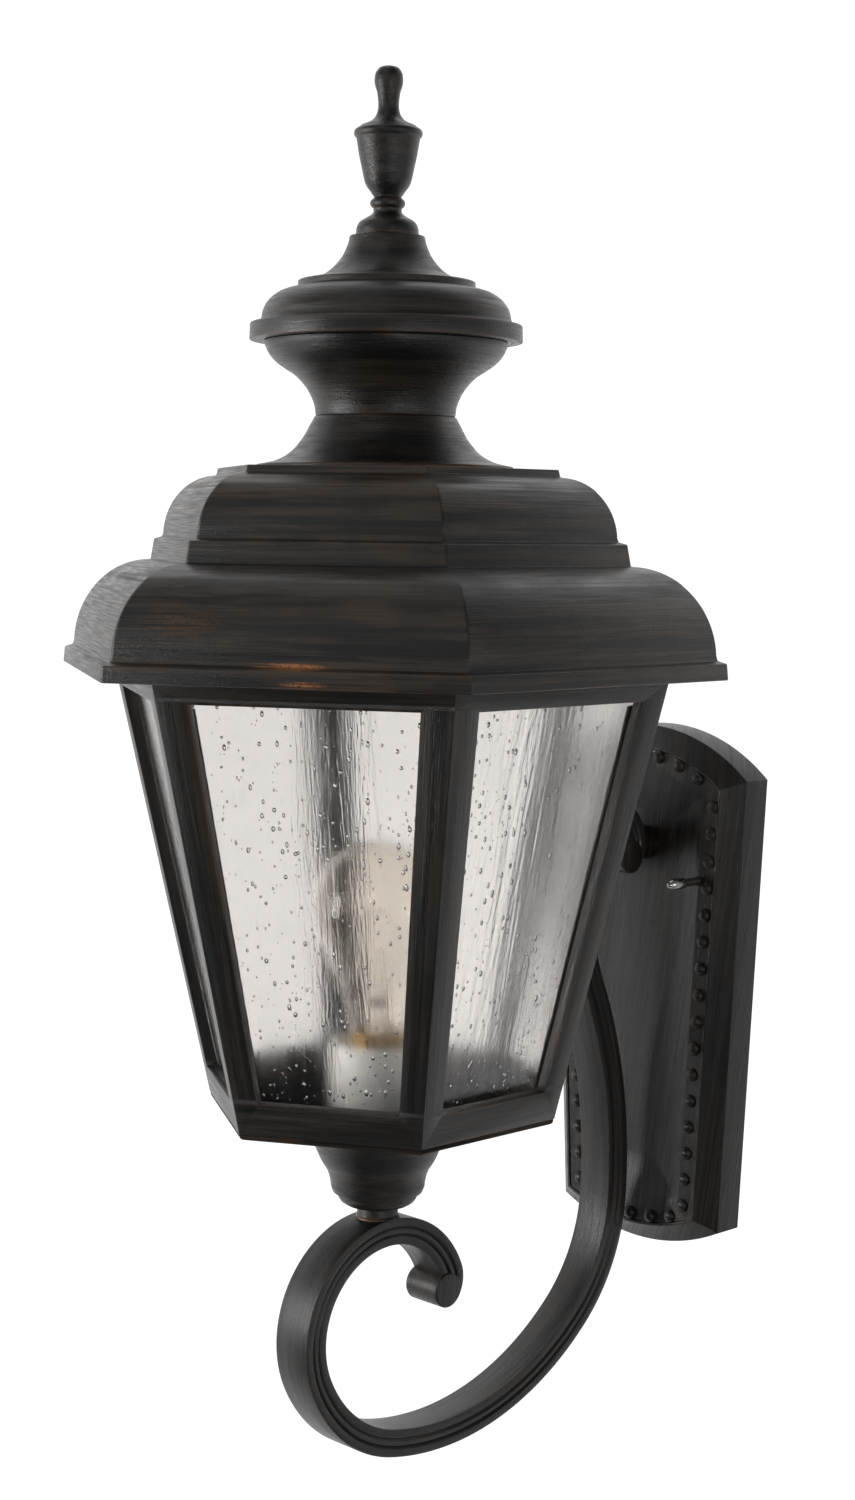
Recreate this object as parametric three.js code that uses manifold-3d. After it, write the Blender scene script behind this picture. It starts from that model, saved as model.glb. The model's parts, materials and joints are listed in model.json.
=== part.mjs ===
// Outdoor wall lantern: a six-sided glazed cage under a stacked cast roof, standing on a scroll arm
// that springs from a beaded wall plate. Millimetres, +Z up, the wall is the plane Y = 0 and the
// lantern stands out from it towards -Y. The origin is the centre of the strap on the wall's box.
import * as THREE from "three";
import { mergeVertices } from "three/addons/utils/BufferGeometryUtils.js";
import Module from "manifold-3d";

const wasm = await Module();
wasm.setup();

// ---------------------------------------------------------------- driving dimensions
const AXIS_Y = -194.5; // lantern's axis, from the wall
const EAVE_Z = 105; // underside of the eave, above the strap
const FIT = 0.1; // gap between parts stacked face to face
const FACE_FIT = 0.3; // gap where a turned part meets a neighbour
const CLEAR = 0.4; // radial clearance of a hole round its rod, stud or screw
const NUT_CLEAR = 0.3; // radial clearance of a nut round its thread

const EAVE_R = 152.4; // eave's corners, from the axis
const CAGE_TOP_Z = -1.2; // cage levels, below the eave
const CAGE_TOP_R = 126.96;
const CAGE_FOOT_Z = -193.8;
const CAGE_FOOT_R = 80.3;
const FRAME_WALL = 5; // thickness of the cage's posts and rails
const FRAME_WALL_R = 5.9; // the same, measured along a corner's radius
const FLANGE_INNER_R = 105; // the top rail's inward flange
const FLANGE_THICK = 2;
const FLOOR_THICK = 2.5;
const FLOOR_SCREW_RING = 60.5; // the floor screws' distance from the axis
const FLOOR_SCREW_R = 1.7;
const CUP_TOP_Z = CAGE_FOOT_Z - 2 * FIT - FLOOR_THICK;
const CUP_WEB_TOP_Z = -236.2; // floor of the bell under the cage
const LIP_INNER_R = 66; // the foot rail's inward lip
const LIP_TOP_Z = CAGE_FOOT_Z + 3;
const OPENING_HALF_TOP = 48.8; // glazed opening, half widths on the face
const OPENING_HALF_FOOT = 31.2;
const OPENING_TOP_V = -8.24; // distances down the sloping face
const OPENING_FOOT_V = -182.94;
const FACES = [30, 90, 150, 210, 270, 330]; // directions the cage's faces look in
const PANE_THICK = 3;
const PANE_LAP = 4; // pane behind the frame at its sides and foot
const PANE_TOP_LAP = 2;
const STRIP_TOP_Z = CAGE_TOP_Z - 9.9; // strips that hold the panes' edges against the posts
const STRIP_FOOT_Z = LIP_TOP_Z + FIT;
const STRIP_HALF_TOP = 6.8;
const STRIP_HALF_FOOT = 3.4;
const STRIP_OUTER_INSET = 10.2; // from the posts' outer corner, along its radius
const STRIP_INNER_INSET = 11.2;
const BOSS_HALF = 2.5; // block on each post that the strip is riveted to
const BOSS_TOP_Z = CAGE_TOP_Z - 10;
const BOSS_FOOT_Z = CAGE_TOP_Z - 24;

const ROD_R = 3; // tie rod that clamps the roof
const ROD_BORE_R = 3.7; // bore of the castings that slide over the rod
const ROD_TOP_Z = 201;
const ROD_FOOT_Z = -12;
const BAR_LOW_Z = CAGE_TOP_Z + FIT;
const BAR_THICK = 2.9;
const BAR_TOP_Z = BAR_LOW_Z + BAR_THICK;
const BAR_WIDTH = 14;
const BAR_SCREW_Y = 110;
const BAR_SCREW_R = 2;
const LUG_R = 4.2; // lugs under the flange that take the bar's screws
const LUG_FOOT_Z = -11;

const FINIAL_BASE_Z = 187.5;
const CAP_RIM_Z = 142.4;
const COLLAR_TOP_Z = 110;
const ROOF_TOP_Z = 87.8;
const CASTING_WALL = 3;
const HUB_R = 12; // boss under the roof's top that the rod passes
const HUB_HEIGHT = 8;
const SEAT_HALF = 2; // ribs under the roof that stand on the cage's flange
const SEAT_IN = 96;
const SEAT_OUT = 130;
const SEAT_FOOT_OUT = 104;
const SEAT_TOP_Z = 40;

const NIPPLE_R = 4.8; // threaded tube from the arm up into the socket
const NIPPLE_BORE_R = 3.2;
const NIPPLE_HOLE_R = NIPPLE_R + CLEAR;
const NIPPLE_FOOT_Z = -254;
const NIPPLE_TOP_Z = -189.2;
const NECK_TOP_Z = -239.1;
const NECK_FOOT_Z = -247.5;

const SOCKET_R = 21.5;
const SOCKET_TOP_Z = -164.5;
const SOCKET_FLOOR_Z = -188.6;
const SOCKET_BORE_R = 5.4;
const BULB_CAP_R = 13.4;
const BULB_R = 30;
const BULB_WALL = 0.8;
const BULB_CENTRE_Z = -104.5;
const BULB_NECK_Z = -159.5;
const BULB_TIP_Z = -185.5;

const ARM_HALF_WIDTH = 10.2;
const ARM_HALF_THICK = 6.25;
const EYE_R = 8;
const EYE_INSET = 1.75; // eye's centre, inside the bar's centreline
const ARM_START = { y: 36.9, z: -285.2, heading: 53.4 };
// centreline as [radius, degrees turned], from the lower eye up to the upper eye
const ARM_ARCS = [
  [10, 60],
  [41.7, 60.3],
  [43.9, 120.3],
  [63.3, 52.7],
  [134.9, 55.8],
  [80.3, 43.5],
  [223.6, 27.6],
  [124.1, -32.8],
  [19, -159.8],
  [10, -60],
];
const ARM_SAGITTA = 0.25; // most that a straight stretch of the arm may miss its arc by
const ARM_STEP_DEG = 14;

const PLATE = {
  topHalf: 61.6,
  footHalf: 50,
  topCornerZ: 49.3,
  footCornerZ: -172.2,
  crownZ: 72.5,
  keelZ: -184.5,
  rimDepth: 15.7,
  faceDepth: 23.7,
  bevel: 9.1,
};
const BEAD_R = 3.3;
const BEAD_INSET = 13.6;
const BEAD_LEAN = 0.23; // each bead down a side stands this much further in than the one above
const BEAD_PITCH = 13.1;
const BEADS_PER_SIDE = 16;
const BEADS_ON_CROWN = 7;
const BEADS_ON_KEEL = 5;
const BEAD_FIRST_Z = 36.3;
const RIM_WALL = 4;
const RIDGE_HEIGHT = 1;
const BED_INSET = 20.5; // inner edge of the flat bed that carries the beads
const DISH_RUN = 24;
const DISH_DEPTH = 6;
const CAVITY_DEPTH = 12; // hollow of the plate's back
const ARM_BOLT_Z = 14.4; // where the arm's upper curl bears on the plate
const ARM_BOLT_R = 3;
const ARM_BOLT_TIP_Y = -36.5;
const ARM_BOLT_FLATS = 10;
const ARM_BOLT_HEAD = 4;
const ARM_WASHER = 1.4;
const ARM_WASHER_R = 6.4;
const PAD_R = 7.5;
const PAD_FACE_Y = -29;

const STUD_X = 38.7;
const STUD_R = 2;
const STUD_TIP_Y = -41.5;
const BALL_NUT_Y = -33.5;
const BALL_NUT_LENGTH = 11;
const STRAP = { half: 49, height: 18, thick: 2, slotX: 26, slotHalf: 6, slotHeight: 4.8, groundX: 12 };
const GROUND_SCREW_R = 2;
const NUTS = {
  rod: { flats: 10, height: 4.9 },
  stem: { flats: 16, height: 4.1 },
  stud: { flats: 8, height: 2.9 },
};

// ---------------------------------------------------------------- materials
const paint = (color, roughness, metalness) =>
  new THREE.MeshStandardMaterial({ color, roughness, metalness });
const BRONZE = paint(0x2b2522, 0.45, 0.6);
const BLACK_STEEL = paint(0x3a3a3c, 0.5, 0.8);
const ZINC = paint(0xa9abad, 0.4, 0.9);
const NICKEL = paint(0xd6d8d8, 0.15, 1);
const BRASS = paint(0xb08a4a, 0.3, 1);
const PORCELAIN = paint(0xeceeee, 0.2, 0);
const GREEN_ZINC = paint(0x2f6b3c, 0.4, 0.7);
const STEM_GLASS = paint(0xdfe3e2, 0.1, 0);
const TUNGSTEN = paint(0x6e6a66, 0.5, 1);
const SEEDED_GLASS = paint(0xe8ecec, 0.1, 0);
const BULB_GLASS = paint(0xf1e4cd, 0.05, 0);

// ---------------------------------------------------------------- geometry helpers
const radians = THREE.MathUtils.degToRad;

// Welds a geometry into a bare closed surface and turns its faces outwards.
function weld(geometry) {
  const bare = geometry.clone();
  bare.deleteAttribute("normal");
  bare.deleteAttribute("uv");
  const welded = mergeVertices(bare, 1e-4);
  const index = Array.from(welded.index.array);
  const kept = [];
  for (let i = 0; i < index.length; i += 3) {
    const [a, b, c] = index.slice(i, i + 3);
    if (a !== b && b !== c && c !== a) kept.push(a, b, c);
  }
  if (signedVolume(welded.attributes.position, kept) < 0) kept.reverse();
  welded.setIndex(kept);
  return welded;
}

function signedVolume(position, index) {
  const corner = [new THREE.Vector3(), new THREE.Vector3(), new THREE.Vector3()];
  let sum = 0;
  for (let i = 0; i < index.length; i += 3) {
    corner.forEach((v, k) => v.fromBufferAttribute(position, index[i + k]));
    sum += corner[0].dot(corner[1].clone().cross(corner[2]));
  }
  return sum / 6;
}

function toSolid(geometry) {
  const welded = weld(geometry);
  const mesh = new wasm.Mesh({
    numProp: 3,
    vertProperties: new Float32Array(welded.attributes.position.array),
    triVerts: new Uint32Array(welded.index.array),
  });
  return new wasm.Manifold(mesh);
}

function toGeometry(solid) {
  const mesh = solid.getMesh();
  const geometry = new THREE.BufferGeometry();
  geometry.setAttribute("position", new THREE.BufferAttribute(mesh.vertProperties, 3));
  geometry.setIndex(new THREE.BufferAttribute(mesh.triVerts, 1));
  return geometry;
}

function join(first, ...others) {
  return toGeometry(others.reduce((sum, g) => sum.add(toSolid(g)), toSolid(first)));
}

function cut(first, ...others) {
  return toGeometry(others.reduce((sum, g) => sum.subtract(toSolid(g)), toSolid(first)));
}

function common(first, second) {
  return toGeometry(toSolid(first).intersect(toSolid(second)));
}

// Turns an outline of [radius, height] points about the Z axis; it starts and ends on the axis or closes.
function turned(outline, sides = 32) {
  const points = outline.map(([r, z]) => new THREE.Vector2(r, z));
  return weld(new THREE.LatheGeometry(points, sides).rotateX(Math.PI / 2));
}

// A ring or tube: the outline is closed back to its first point.
function turnedRing(outline, sides = 32) {
  return turned([...outline, outline[0]], sides);
}

function cylinder(r, zLow, zHigh, sides = 16) {
  const geometry = new THREE.CylinderGeometry(r, r, zHigh - zLow, sides).rotateX(Math.PI / 2);
  return geometry.translate(0, 0, (zLow + zHigh) / 2);
}

// A cylinder that lies along Y.
function cylinderY(r, yLow, yHigh, x, z, sides = 16) {
  const geometry = new THREE.CylinderGeometry(r, r, yHigh - yLow, sides);
  return geometry.translate(x, (yLow + yHigh) / 2, z);
}

function tube(rOuter, rInner, zLow, zHigh, sides = 20) {
  return turnedRing([[rInner, zLow], [rOuter, zLow], [rOuter, zHigh], [rInner, zHigh]], sides);
}

function box(xRange, yRange, zRange) {
  const [low, high] = [0, 1].map((k) => new THREE.Vector3(xRange[k], yRange[k], zRange[k]));
  const size = high.clone().sub(low);
  const centre = high.add(low).multiplyScalar(0.5);
  return new THREE.BoxGeometry(size.x, size.y, size.z).translate(centre.x, centre.y, centre.z);
}

// Corner radius of a hexagon from its width across flats.
function hexCorner(acrossFlats) {
  return acrossFlats / 2 / Math.cos(Math.PI / 6);
}

function hexNut({ flats, height }, threadR, zLow) {
  const blank = cylinder(hexCorner(flats), zLow, zLow + height, 6);
  return cut(blank, cylinder(threadR + NUT_CLEAR, zLow - 1, zLow + height + 1, 16));
}

// An arc of points about a centre, angles in degrees from +radius towards +height.
function arc(centreR, centreZ, radiusR, radiusZ, from, to, steps) {
  return Array.from({ length: steps + 1 }, (_, k) => {
    const angle = radians(from + ((to - from) * k) / steps);
    return [centreR + radiusR * Math.cos(angle), centreZ + radiusZ * Math.sin(angle)];
  });
}

// Skins a stack of rings of 3-D points and caps both ends; the flat outlines are the end rings in 2-D.
function loft(rings, firstFlat, lastFlat) {
  const count = rings[0].length;
  const index = [];
  for (let ring = 0; ring < rings.length - 1; ring++) {
    for (let k = 0; k < count; k++) {
      const a = ring * count + k;
      const b = ring * count + ((k + 1) % count);
      index.push(a, b, a + count, b, b + count, a + count);
    }
  }
  const last = (rings.length - 1) * count;
  const turnsLeft = THREE.ShapeUtils.area(firstFlat) > 0;
  for (const [a, b, c] of THREE.ShapeUtils.triangulateShape(firstFlat, [])) {
    index.push(a, ...(turnsLeft ? [c, b] : [b, c]));
  }
  for (const [a, b, c] of THREE.ShapeUtils.triangulateShape(lastFlat, [])) {
    index.push(a + last, ...(turnsLeft ? [b + last, c + last] : [c + last, b + last]));
  }
  const geometry = new THREE.BufferGeometry();
  geometry.setAttribute("position", new THREE.Float32BufferAttribute(rings.flat(2), 3));
  geometry.setIndex(index);
  return geometry;
}

const part = new THREE.Group();
const lantern = new THREE.Group();
lantern.position.set(0, AXIS_Y, EAVE_Z);
part.add(lantern);

function add(group, name, geometry, material) {
  const mesh = new THREE.Mesh(weld(geometry), material);
  mesh.name = name;
  group.add(mesh);
  return mesh;
}

// ---------------------------------------------------------------- finial and the turned castings
function finial() {
  return turned([
    [0, ROD_TOP_Z + 1.5],
    [3.3, ROD_TOP_Z + 0.5],
    [3.3, FINIAL_BASE_Z],
    [13.6, FINIAL_BASE_Z],
    [13.9, 189],
    ...arc(6.6, 189, 7.1, 6.6, 15, 90, 4),
    [6, 197.2],
    ...arc(6, 201.3, 1.7, 2, -60, 60, 2),
    [5.7, 203.8],
    [7.6, 206.2],
    [9.4, 208.8],
    [11.2, 214],
    [13.2, 226],
    ...arc(13.6, 230.6, 1.3, 2.4, -60, 70, 3),
    [11.8, 234.4],
    [7, 236.6],
    [4.9, 239.4],
    [4.4, 243.4],
    [5, 247.8],
    ...arc(0, 253.8, 6.1, 5.7, -20, 90, 5),
  ], 16);
}

function upperCap() {
  const neckR = 16.4;
  return turnedRing([
    [ROD_BORE_R, FINIAL_BASE_Z - 3.5],
    [ROD_BORE_R, FINIAL_BASE_Z - FIT],
    [neckR, FINIAL_BASE_Z - FIT],
    [17.2, 183.4],
    [19.6, 178.3],
    [24, 173.2],
    [29, 170],
    [36.6, 168.4],
    [38.4, 167.2],
    [38.4, 165.2],
    ...arc(38.4, 151.6, 15.6, 13.2, 82, 4, 5),
    [55, 150.2],
    [58.8, 149.2],
    [59.2, CAP_RIM_Z],
    [47, CAP_RIM_Z],
    [47, 152],
    [38, 161],
    [24, 167],
    [16, 178],
    [13, FINIAL_BASE_Z - 3.5],
  ], 28);
}

function ventBowl() {
  const footZ = COLLAR_TOP_Z + FIT;
  return turnedRing([
    [ROD_BORE_R, footZ],
    [30.2, footZ],
    [30.5, 111.6],
    [31.6, 116.7],
    [34.2, 121.9],
    [38.7, 127],
    [46.4, 132.2],
    [50.8, 136.6],
    [52.6, 140],
    [52.8, CAP_RIM_Z - FIT],
    [49.4, CAP_RIM_Z - FIT],
    [46, 136.4],
    [34, 127.4],
    [28, 117],
    [26.6, footZ + CASTING_WALL],
    [ROD_BORE_R, footZ + CASTING_WALL],
  ], 28);
}

function collar() {
  const footZ = ROOF_TOP_Z + FIT;
  return turnedRing([
    [ROD_BORE_R, COLLAR_TOP_Z - CASTING_WALL],
    [ROD_BORE_R, COLLAR_TOP_Z],
    [31, COLLAR_TOP_Z],
    [32.8, 106.6],
    [35.6, 101.2],
    [39.7, 96],
    [44, 92.6],
    [49.5, 90.2],
    [55.5, 89.2],
    [56, footZ],
    [51, footZ],
    [39, 91],
    [32, 100],
    [29, COLLAR_TOP_Z - CASTING_WALL],
  ], 28);
}

// ---------------------------------------------------------------- roof
const ROOF_OUTLINE = [
  [EAVE_R, 0],
  [151.7, 6.9],
  [147.6, 8.1],
  ...arc(109.8, 8.1, 37.4, 39, 4, 88, 8),
  [109.8, 47.2],
  [108.1, 56.3],
  [104.2, 57.3],
  ...arc(78, 57.3, 25.8, 27.2, 4, 86, 7),
  [78.3, 84.9],
  [77.7, ROOF_TOP_Z],
];

// Hexagonal shell of three steps, with a hub for the rod and three ribs that stand on the cage.
function roof() {
  const shell = turnedRing([
    ...ROOF_OUTLINE,
    [8, ROOF_TOP_Z],
    [8, ROOF_TOP_Z - CASTING_WALL],
    [74, ROOF_TOP_Z - CASTING_WALL],
    ...arc(77, 56, 22.6, 25, 80, 4, 5),
    [103.8, 53],
    [105, 43.6],
    ...arc(108.4, 8, 33.8, 34.4, 84, 4, 6),
    [145.6, 4],
    [146, 0],
  ], 6);
  const whole = turned([[0, 0], ...ROOF_OUTLINE, [0, ROOF_TOP_Z]], 6);
  const hub = tube(HUB_R, ROD_BORE_R, ROOF_TOP_Z - HUB_HEIGHT, ROOF_TOP_Z);
  const across = [-SEAT_HALF, SEAT_HALF];
  const seats = [30, 150, 270].map((deg) => {
    const blank = box(across, [SEAT_IN, SEAT_OUT], [0, SEAT_TOP_Z]).rotateZ(radians(deg));
    const foot = box(across, [SEAT_IN, SEAT_FOOT_OUT], [CAGE_TOP_Z + FIT, 1]).rotateZ(radians(deg));
    return join(common(blank, whole), foot);
  });
  return join(shell, hub, ...seats);
}

// ---------------------------------------------------------------- cage
function cageRadius(z) {
  const share = (CAGE_TOP_Z - z) / (CAGE_TOP_Z - CAGE_FOOT_Z);
  return CAGE_TOP_R + (CAGE_FOOT_R - CAGE_TOP_R) * share;
}

// Sets a geometry drawn on a face (x across, y up the slope, z outwards) onto the face at an angle.
function ontoFace(geometry, deg) {
  const flat = Math.cos(Math.PI / 6);
  const top = new THREE.Vector3(0, -CAGE_TOP_R * flat, CAGE_TOP_Z);
  const foot = new THREE.Vector3(0, -CAGE_FOOT_R * flat, CAGE_FOOT_Z);
  const up = top.clone().sub(foot).normalize();
  const across = new THREE.Vector3(1, 0, 0);
  const basis = new THREE.Matrix4().makeBasis(across, up, across.clone().cross(up));
  basis.setPosition(top);
  return geometry.applyMatrix4(basis).rotateZ(radians(deg));
}

function trapezoid(topHalf, footHalf, topV, footV, outwards, depth) {
  const shape = new THREE.Shape([
    new THREE.Vector2(-footHalf, footV),
    new THREE.Vector2(footHalf, footV),
    new THREE.Vector2(topHalf, topV),
    new THREE.Vector2(-topHalf, topV),
  ]);
  const solid = new THREE.ExtrudeGeometry(shape, { depth, bevelEnabled: false });
  return solid.translate(0, 0, outwards - depth);
}

// Six-sided ring that follows the cage's slope, between two insets from its outer corners.
function slopingRing(outerInset, innerInset, zLow, zHigh) {
  return turnedRing([
    [cageRadius(zLow) - innerInset, zLow],
    [cageRadius(zLow) - outerInset, zLow],
    [cageRadius(zHigh) - outerInset, zHigh],
    [cageRadius(zHigh) - innerInset, zHigh],
  ], 6);
}

const POSTS = [0, 60, 120, 180, 240, 300]; // directions of the cage's corners
const BAR_SCREWS = [-BAR_SCREW_Y, BAR_SCREW_Y];

function cageFrame() {
  const flangeZ = CAGE_TOP_Z - FLANGE_THICK;
  const walls = turnedRing([
    [LIP_INNER_R, CAGE_FOOT_Z],
    [CAGE_FOOT_R, CAGE_FOOT_Z],
    [CAGE_TOP_R, CAGE_TOP_Z],
    [FLANGE_INNER_R, CAGE_TOP_Z],
    [FLANGE_INNER_R, flangeZ],
    [cageRadius(flangeZ) - FRAME_WALL_R, flangeZ],
    [cageRadius(LIP_TOP_Z) - FRAME_WALL_R, LIP_TOP_Z],
    [LIP_INNER_R, LIP_TOP_Z],
  ], 6);
  const lugs = BAR_SCREWS.map((y) => cylinder(LUG_R, LUG_FOOT_Z, flangeZ + 0.5, 12).translate(0, y, 0));
  const openings = FACES.map((deg) => {
    const cutter = trapezoid(OPENING_HALF_TOP, OPENING_HALF_FOOT, OPENING_TOP_V, OPENING_FOOT_V, 6, 16);
    return ontoFace(cutter, deg);
  });
  const barHoles = BAR_SCREWS.map((y) => drill([0, y], BAR_SCREW_R, LUG_FOOT_Z + 1.5, 0));
  const floorHoles = floorScrewPlaces().map((place) =>
    drill(place, FLOOR_SCREW_R, CAGE_FOOT_Z - 1, LIP_TOP_Z + 1),
  );
  const bossRing = slopingRing(FRAME_WALL_R - 0.5, STRIP_OUTER_INSET - FIT, BOSS_FOOT_Z, BOSS_TOP_Z);
  const bosses = POSTS.map((deg) => {
    const slice = box([-BOSS_HALF, BOSS_HALF], [0, CAGE_TOP_R], [BOSS_FOOT_Z, BOSS_TOP_Z]);
    return common(bossRing, slice.rotateZ(radians(deg)));
  });
  return cut(join(walls, ...lugs, ...bosses), ...openings, ...barHoles, ...floorHoles);
}

// Cutter for a hole along Z that clears a screw of the given radius.
function drill([x, y], screwR, zLow, zHigh) {
  return cylinder(screwR + CLEAR, zLow, zHigh, 12).translate(x, y, 0);
}

function pane(deg) {
  const outline = trapezoid(
    OPENING_HALF_TOP + PANE_LAP,
    OPENING_HALF_FOOT + PANE_LAP,
    OPENING_TOP_V + PANE_TOP_LAP,
    OPENING_FOOT_V - PANE_LAP,
    -FRAME_WALL - FACE_FIT,
    PANE_THICK,
  );
  return ontoFace(outline, deg);
}

// Bent strip inside a post: its two wings press the edges of the panes on both sides of the corner.
function cornerStrip(deg) {
  const ring = slopingRing(STRIP_OUTER_INSET, STRIP_INNER_INSET, STRIP_FOOT_Z, STRIP_TOP_Z);
  const taper = new THREE.Shape([
    new THREE.Vector2(-STRIP_HALF_FOOT, STRIP_FOOT_Z - 1),
    new THREE.Vector2(STRIP_HALF_FOOT, STRIP_FOOT_Z - 1),
    new THREE.Vector2(STRIP_HALF_TOP, STRIP_TOP_Z + 1),
    new THREE.Vector2(-STRIP_HALF_TOP, STRIP_TOP_Z + 1),
  ]);
  const slice = new THREE.ExtrudeGeometry(taper, { depth: CAGE_TOP_R, bevelEnabled: false });
  slice.rotateX(Math.PI / 2).rotateZ(radians(deg + 180));
  return common(ring, slice);
}

function cageFloor() {
  const topZ = CAGE_FOOT_Z - FIT;
  const footZ = topZ - FLOOR_THICK;
  const plate = turned([
    [0, footZ],
    [78.6, footZ],
    [79.9, footZ + 1],
    [79.9, topZ],
    [0, topZ],
  ], 6);
  const holes = floorScrewPlaces().map((place) => drill(place, FLOOR_SCREW_R, footZ - 1, topZ + 1));
  return cut(plate, cylinder(NIPPLE_HOLE_R, footZ - 1, topZ + 1, 16), ...holes);
}

function floorScrewPlaces() {
  return [0, 120, 240].map((deg) => {
    const angle = radians(deg + 30);
    return [FLOOR_SCREW_RING * Math.sin(angle), -FLOOR_SCREW_RING * Math.cos(angle)];
  });
}

// Pan-head screw under the floor: head below, shank up into the frame.
function floorScrew([x, y]) {
  const seatZ = CUP_TOP_Z;
  const tipZ = CAGE_FOOT_Z + 6;
  return turned([
    [0, seatZ - 2],
    [2.6, seatZ - 1.6],
    [3.2, seatZ],
    [FLOOR_SCREW_R, seatZ],
    [FLOOR_SCREW_R, tipZ],
    [0, tipZ],
  ], 12).translate(x, y, 0);
}

function crossBar() {
  const reach = BAR_SCREW_Y + BAR_WIDTH / 2;
  const blank = box([-BAR_WIDTH / 2, BAR_WIDTH / 2], [-reach, reach], [BAR_LOW_Z, BAR_TOP_Z]);
  const rodHole = drill([0, 0], ROD_R, BAR_LOW_Z - 1, BAR_TOP_Z + 1);
  const screwHoles = BAR_SCREWS.map((y) => drill([0, y], BAR_SCREW_R, BAR_LOW_Z - 1, BAR_TOP_Z + 1));
  return cut(blank, rodHole, ...screwHoles);
}

function barScrew(y) {
  const seatZ = BAR_TOP_Z + FIT;
  const tipZ = LUG_FOOT_Z + 2.5;
  return turned([
    [0, tipZ],
    [BAR_SCREW_R, tipZ],
    [BAR_SCREW_R, seatZ],
    [4, seatZ],
    [3.6, seatZ + 1.8],
    [0, seatZ + 2.4],
  ], 12).translate(0, y, 0);
}

// ---------------------------------------------------------------- socket and bulb
function socketBody() {
  const footZ = CAGE_FOOT_Z + FIT;
  return turnedRing([
    [SOCKET_BORE_R, footZ],
    [SOCKET_R - 1, footZ],
    [SOCKET_R, footZ + 1],
    [SOCKET_R, SOCKET_TOP_Z - 1.2],
    [SOCKET_R - 1.2, SOCKET_TOP_Z],
    [17, SOCKET_TOP_Z],
    [16, SOCKET_TOP_Z - 1.4],
    [16, SOCKET_FLOOR_Z],
    [SOCKET_BORE_R, SOCKET_FLOOR_Z],
  ], 24);
}

// Thread ridges up a shell between two heights, as crests and roots in turn.
function ridges(crest, depth, zLow, zHigh, count) {
  const steps = count * 2;
  return Array.from({ length: steps + 1 }, (_, k) => [
    k % 2 ? crest : crest - depth,
    zLow + ((zHigh - zLow) * k) / steps,
  ]);
}

function socketShell() {
  const footZ = SOCKET_FLOOR_Z + 2 * FIT;
  const lipZ = SOCKET_TOP_Z - 3;
  const outer = ridges(15.7, 0.6, footZ, lipZ, 3);
  const inner = outer.map(([r, z]) => [r - 0.5, z]).slice(1).reverse();
  return turnedRing([[9, footZ], ...outer, ...inner, [14.4, footZ + 0.6], [9, footZ + 0.6]], 16);
}

// Brass strip on the socket's floor, bent up at its end to meet the bulb's tip.
function socketContact() {
  const footZ = SOCKET_FLOOR_Z + 2 * FIT;
  const strap = box([-3, 3], [-1, 7.6], [footZ, footZ + 0.6]);
  const tongue = box([-3, 3], [-1, 0], [footZ + 0.2, BULB_TIP_Z - 0.4]);
  return join(strap, tongue);
}

function bulbCap() {
  return turned([
    [0, BULB_TIP_Z],
    [3.4, BULB_TIP_Z + 0.4],
    [4.6, BULB_TIP_Z + 1.6],
    [10.6, BULB_TIP_Z + 4.4],
    ...ridges(BULB_CAP_R, 0.7, BULB_TIP_Z + 5, BULB_NECK_Z - 5, 3),
    [13, BULB_NECK_Z - 4],
    [13, BULB_NECK_Z - FIT],
    [0, BULB_NECK_Z - FIT],
  ], 20);
}

// Thin pear-shaped envelope, open at its neck, where the cap closes it.
function bulbGlass() {
  const skin = (r, steps) => [
    [r - 17.4, BULB_NECK_Z],
    [r - 16.4, -150],
    [r - 10.6, -132],
    ...arc(0, BULB_CENTRE_Z, r, r, -24, 90, steps),
  ];
  return turned([...skin(BULB_R - BULB_WALL, 6).reverse(), ...skin(BULB_R, 8)], 18);
}

function bulbStem() {
  return turned([
    [0, BULB_NECK_Z + FIT],
    [9.6, BULB_NECK_Z + FIT],
    [6, -153],
    [3.4, -146],
    [2.8, -132],
    [1.4, -124],
    [0, -123],
  ], 14);
}

// Filament: a thin wire that rises beside the stem, crosses over it and comes down again.
function bulbFilament() {
  const route = new THREE.CatmullRomCurve3([
    new THREE.Vector3(-5.5, 0, -148),
    new THREE.Vector3(-11, 0, -128),
    new THREE.Vector3(-11, 0, -112),
    new THREE.Vector3(0, 0, -106),
    new THREE.Vector3(11, 0, -112),
    new THREE.Vector3(11, 0, -128),
    new THREE.Vector3(5.5, 0, -148),
  ]);
  const section = new THREE.Shape().absarc(0, 0, 0.5, 0, 2 * Math.PI);
  const options = { steps: 18, extrudePath: route, curveSegments: 2 };
  return new THREE.ExtrudeGeometry(section, options);
}

// ---------------------------------------------------------------- stem under the cage
// Bell that carries the cage's floor on its rim; its foot is clamped to the neck by the stem nut.
function socketCup() {
  return turnedRing([
    [NIPPLE_HOLE_R, CUP_WEB_TOP_Z],
    [13.6, CUP_WEB_TOP_Z],
    [15, -233.4],
    [17.8, -230.6],
    [18.6, -226.4],
    [20.6, -221],
    [23.6, -215.6],
    [26.8, -208],
    [31.4, -200.4],
    [36, CUP_TOP_Z],
    [41, CUP_TOP_Z],
    [40.4, CUP_TOP_Z - 2],
    [34, -202],
    [29.5, -209],
    [26.4, -216.4],
    [23.2, -222],
    [21.4, -227],
    [21, -230.6],
    [20, -232.8],
    [17.6, -233.8],
    [17.6, -235.4],
    [16.2, -237.4],
    [12.6, -238.6],
    [NIPPLE_HOLE_R, NECK_TOP_Z + FIT],
  ], 24);
}

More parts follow.
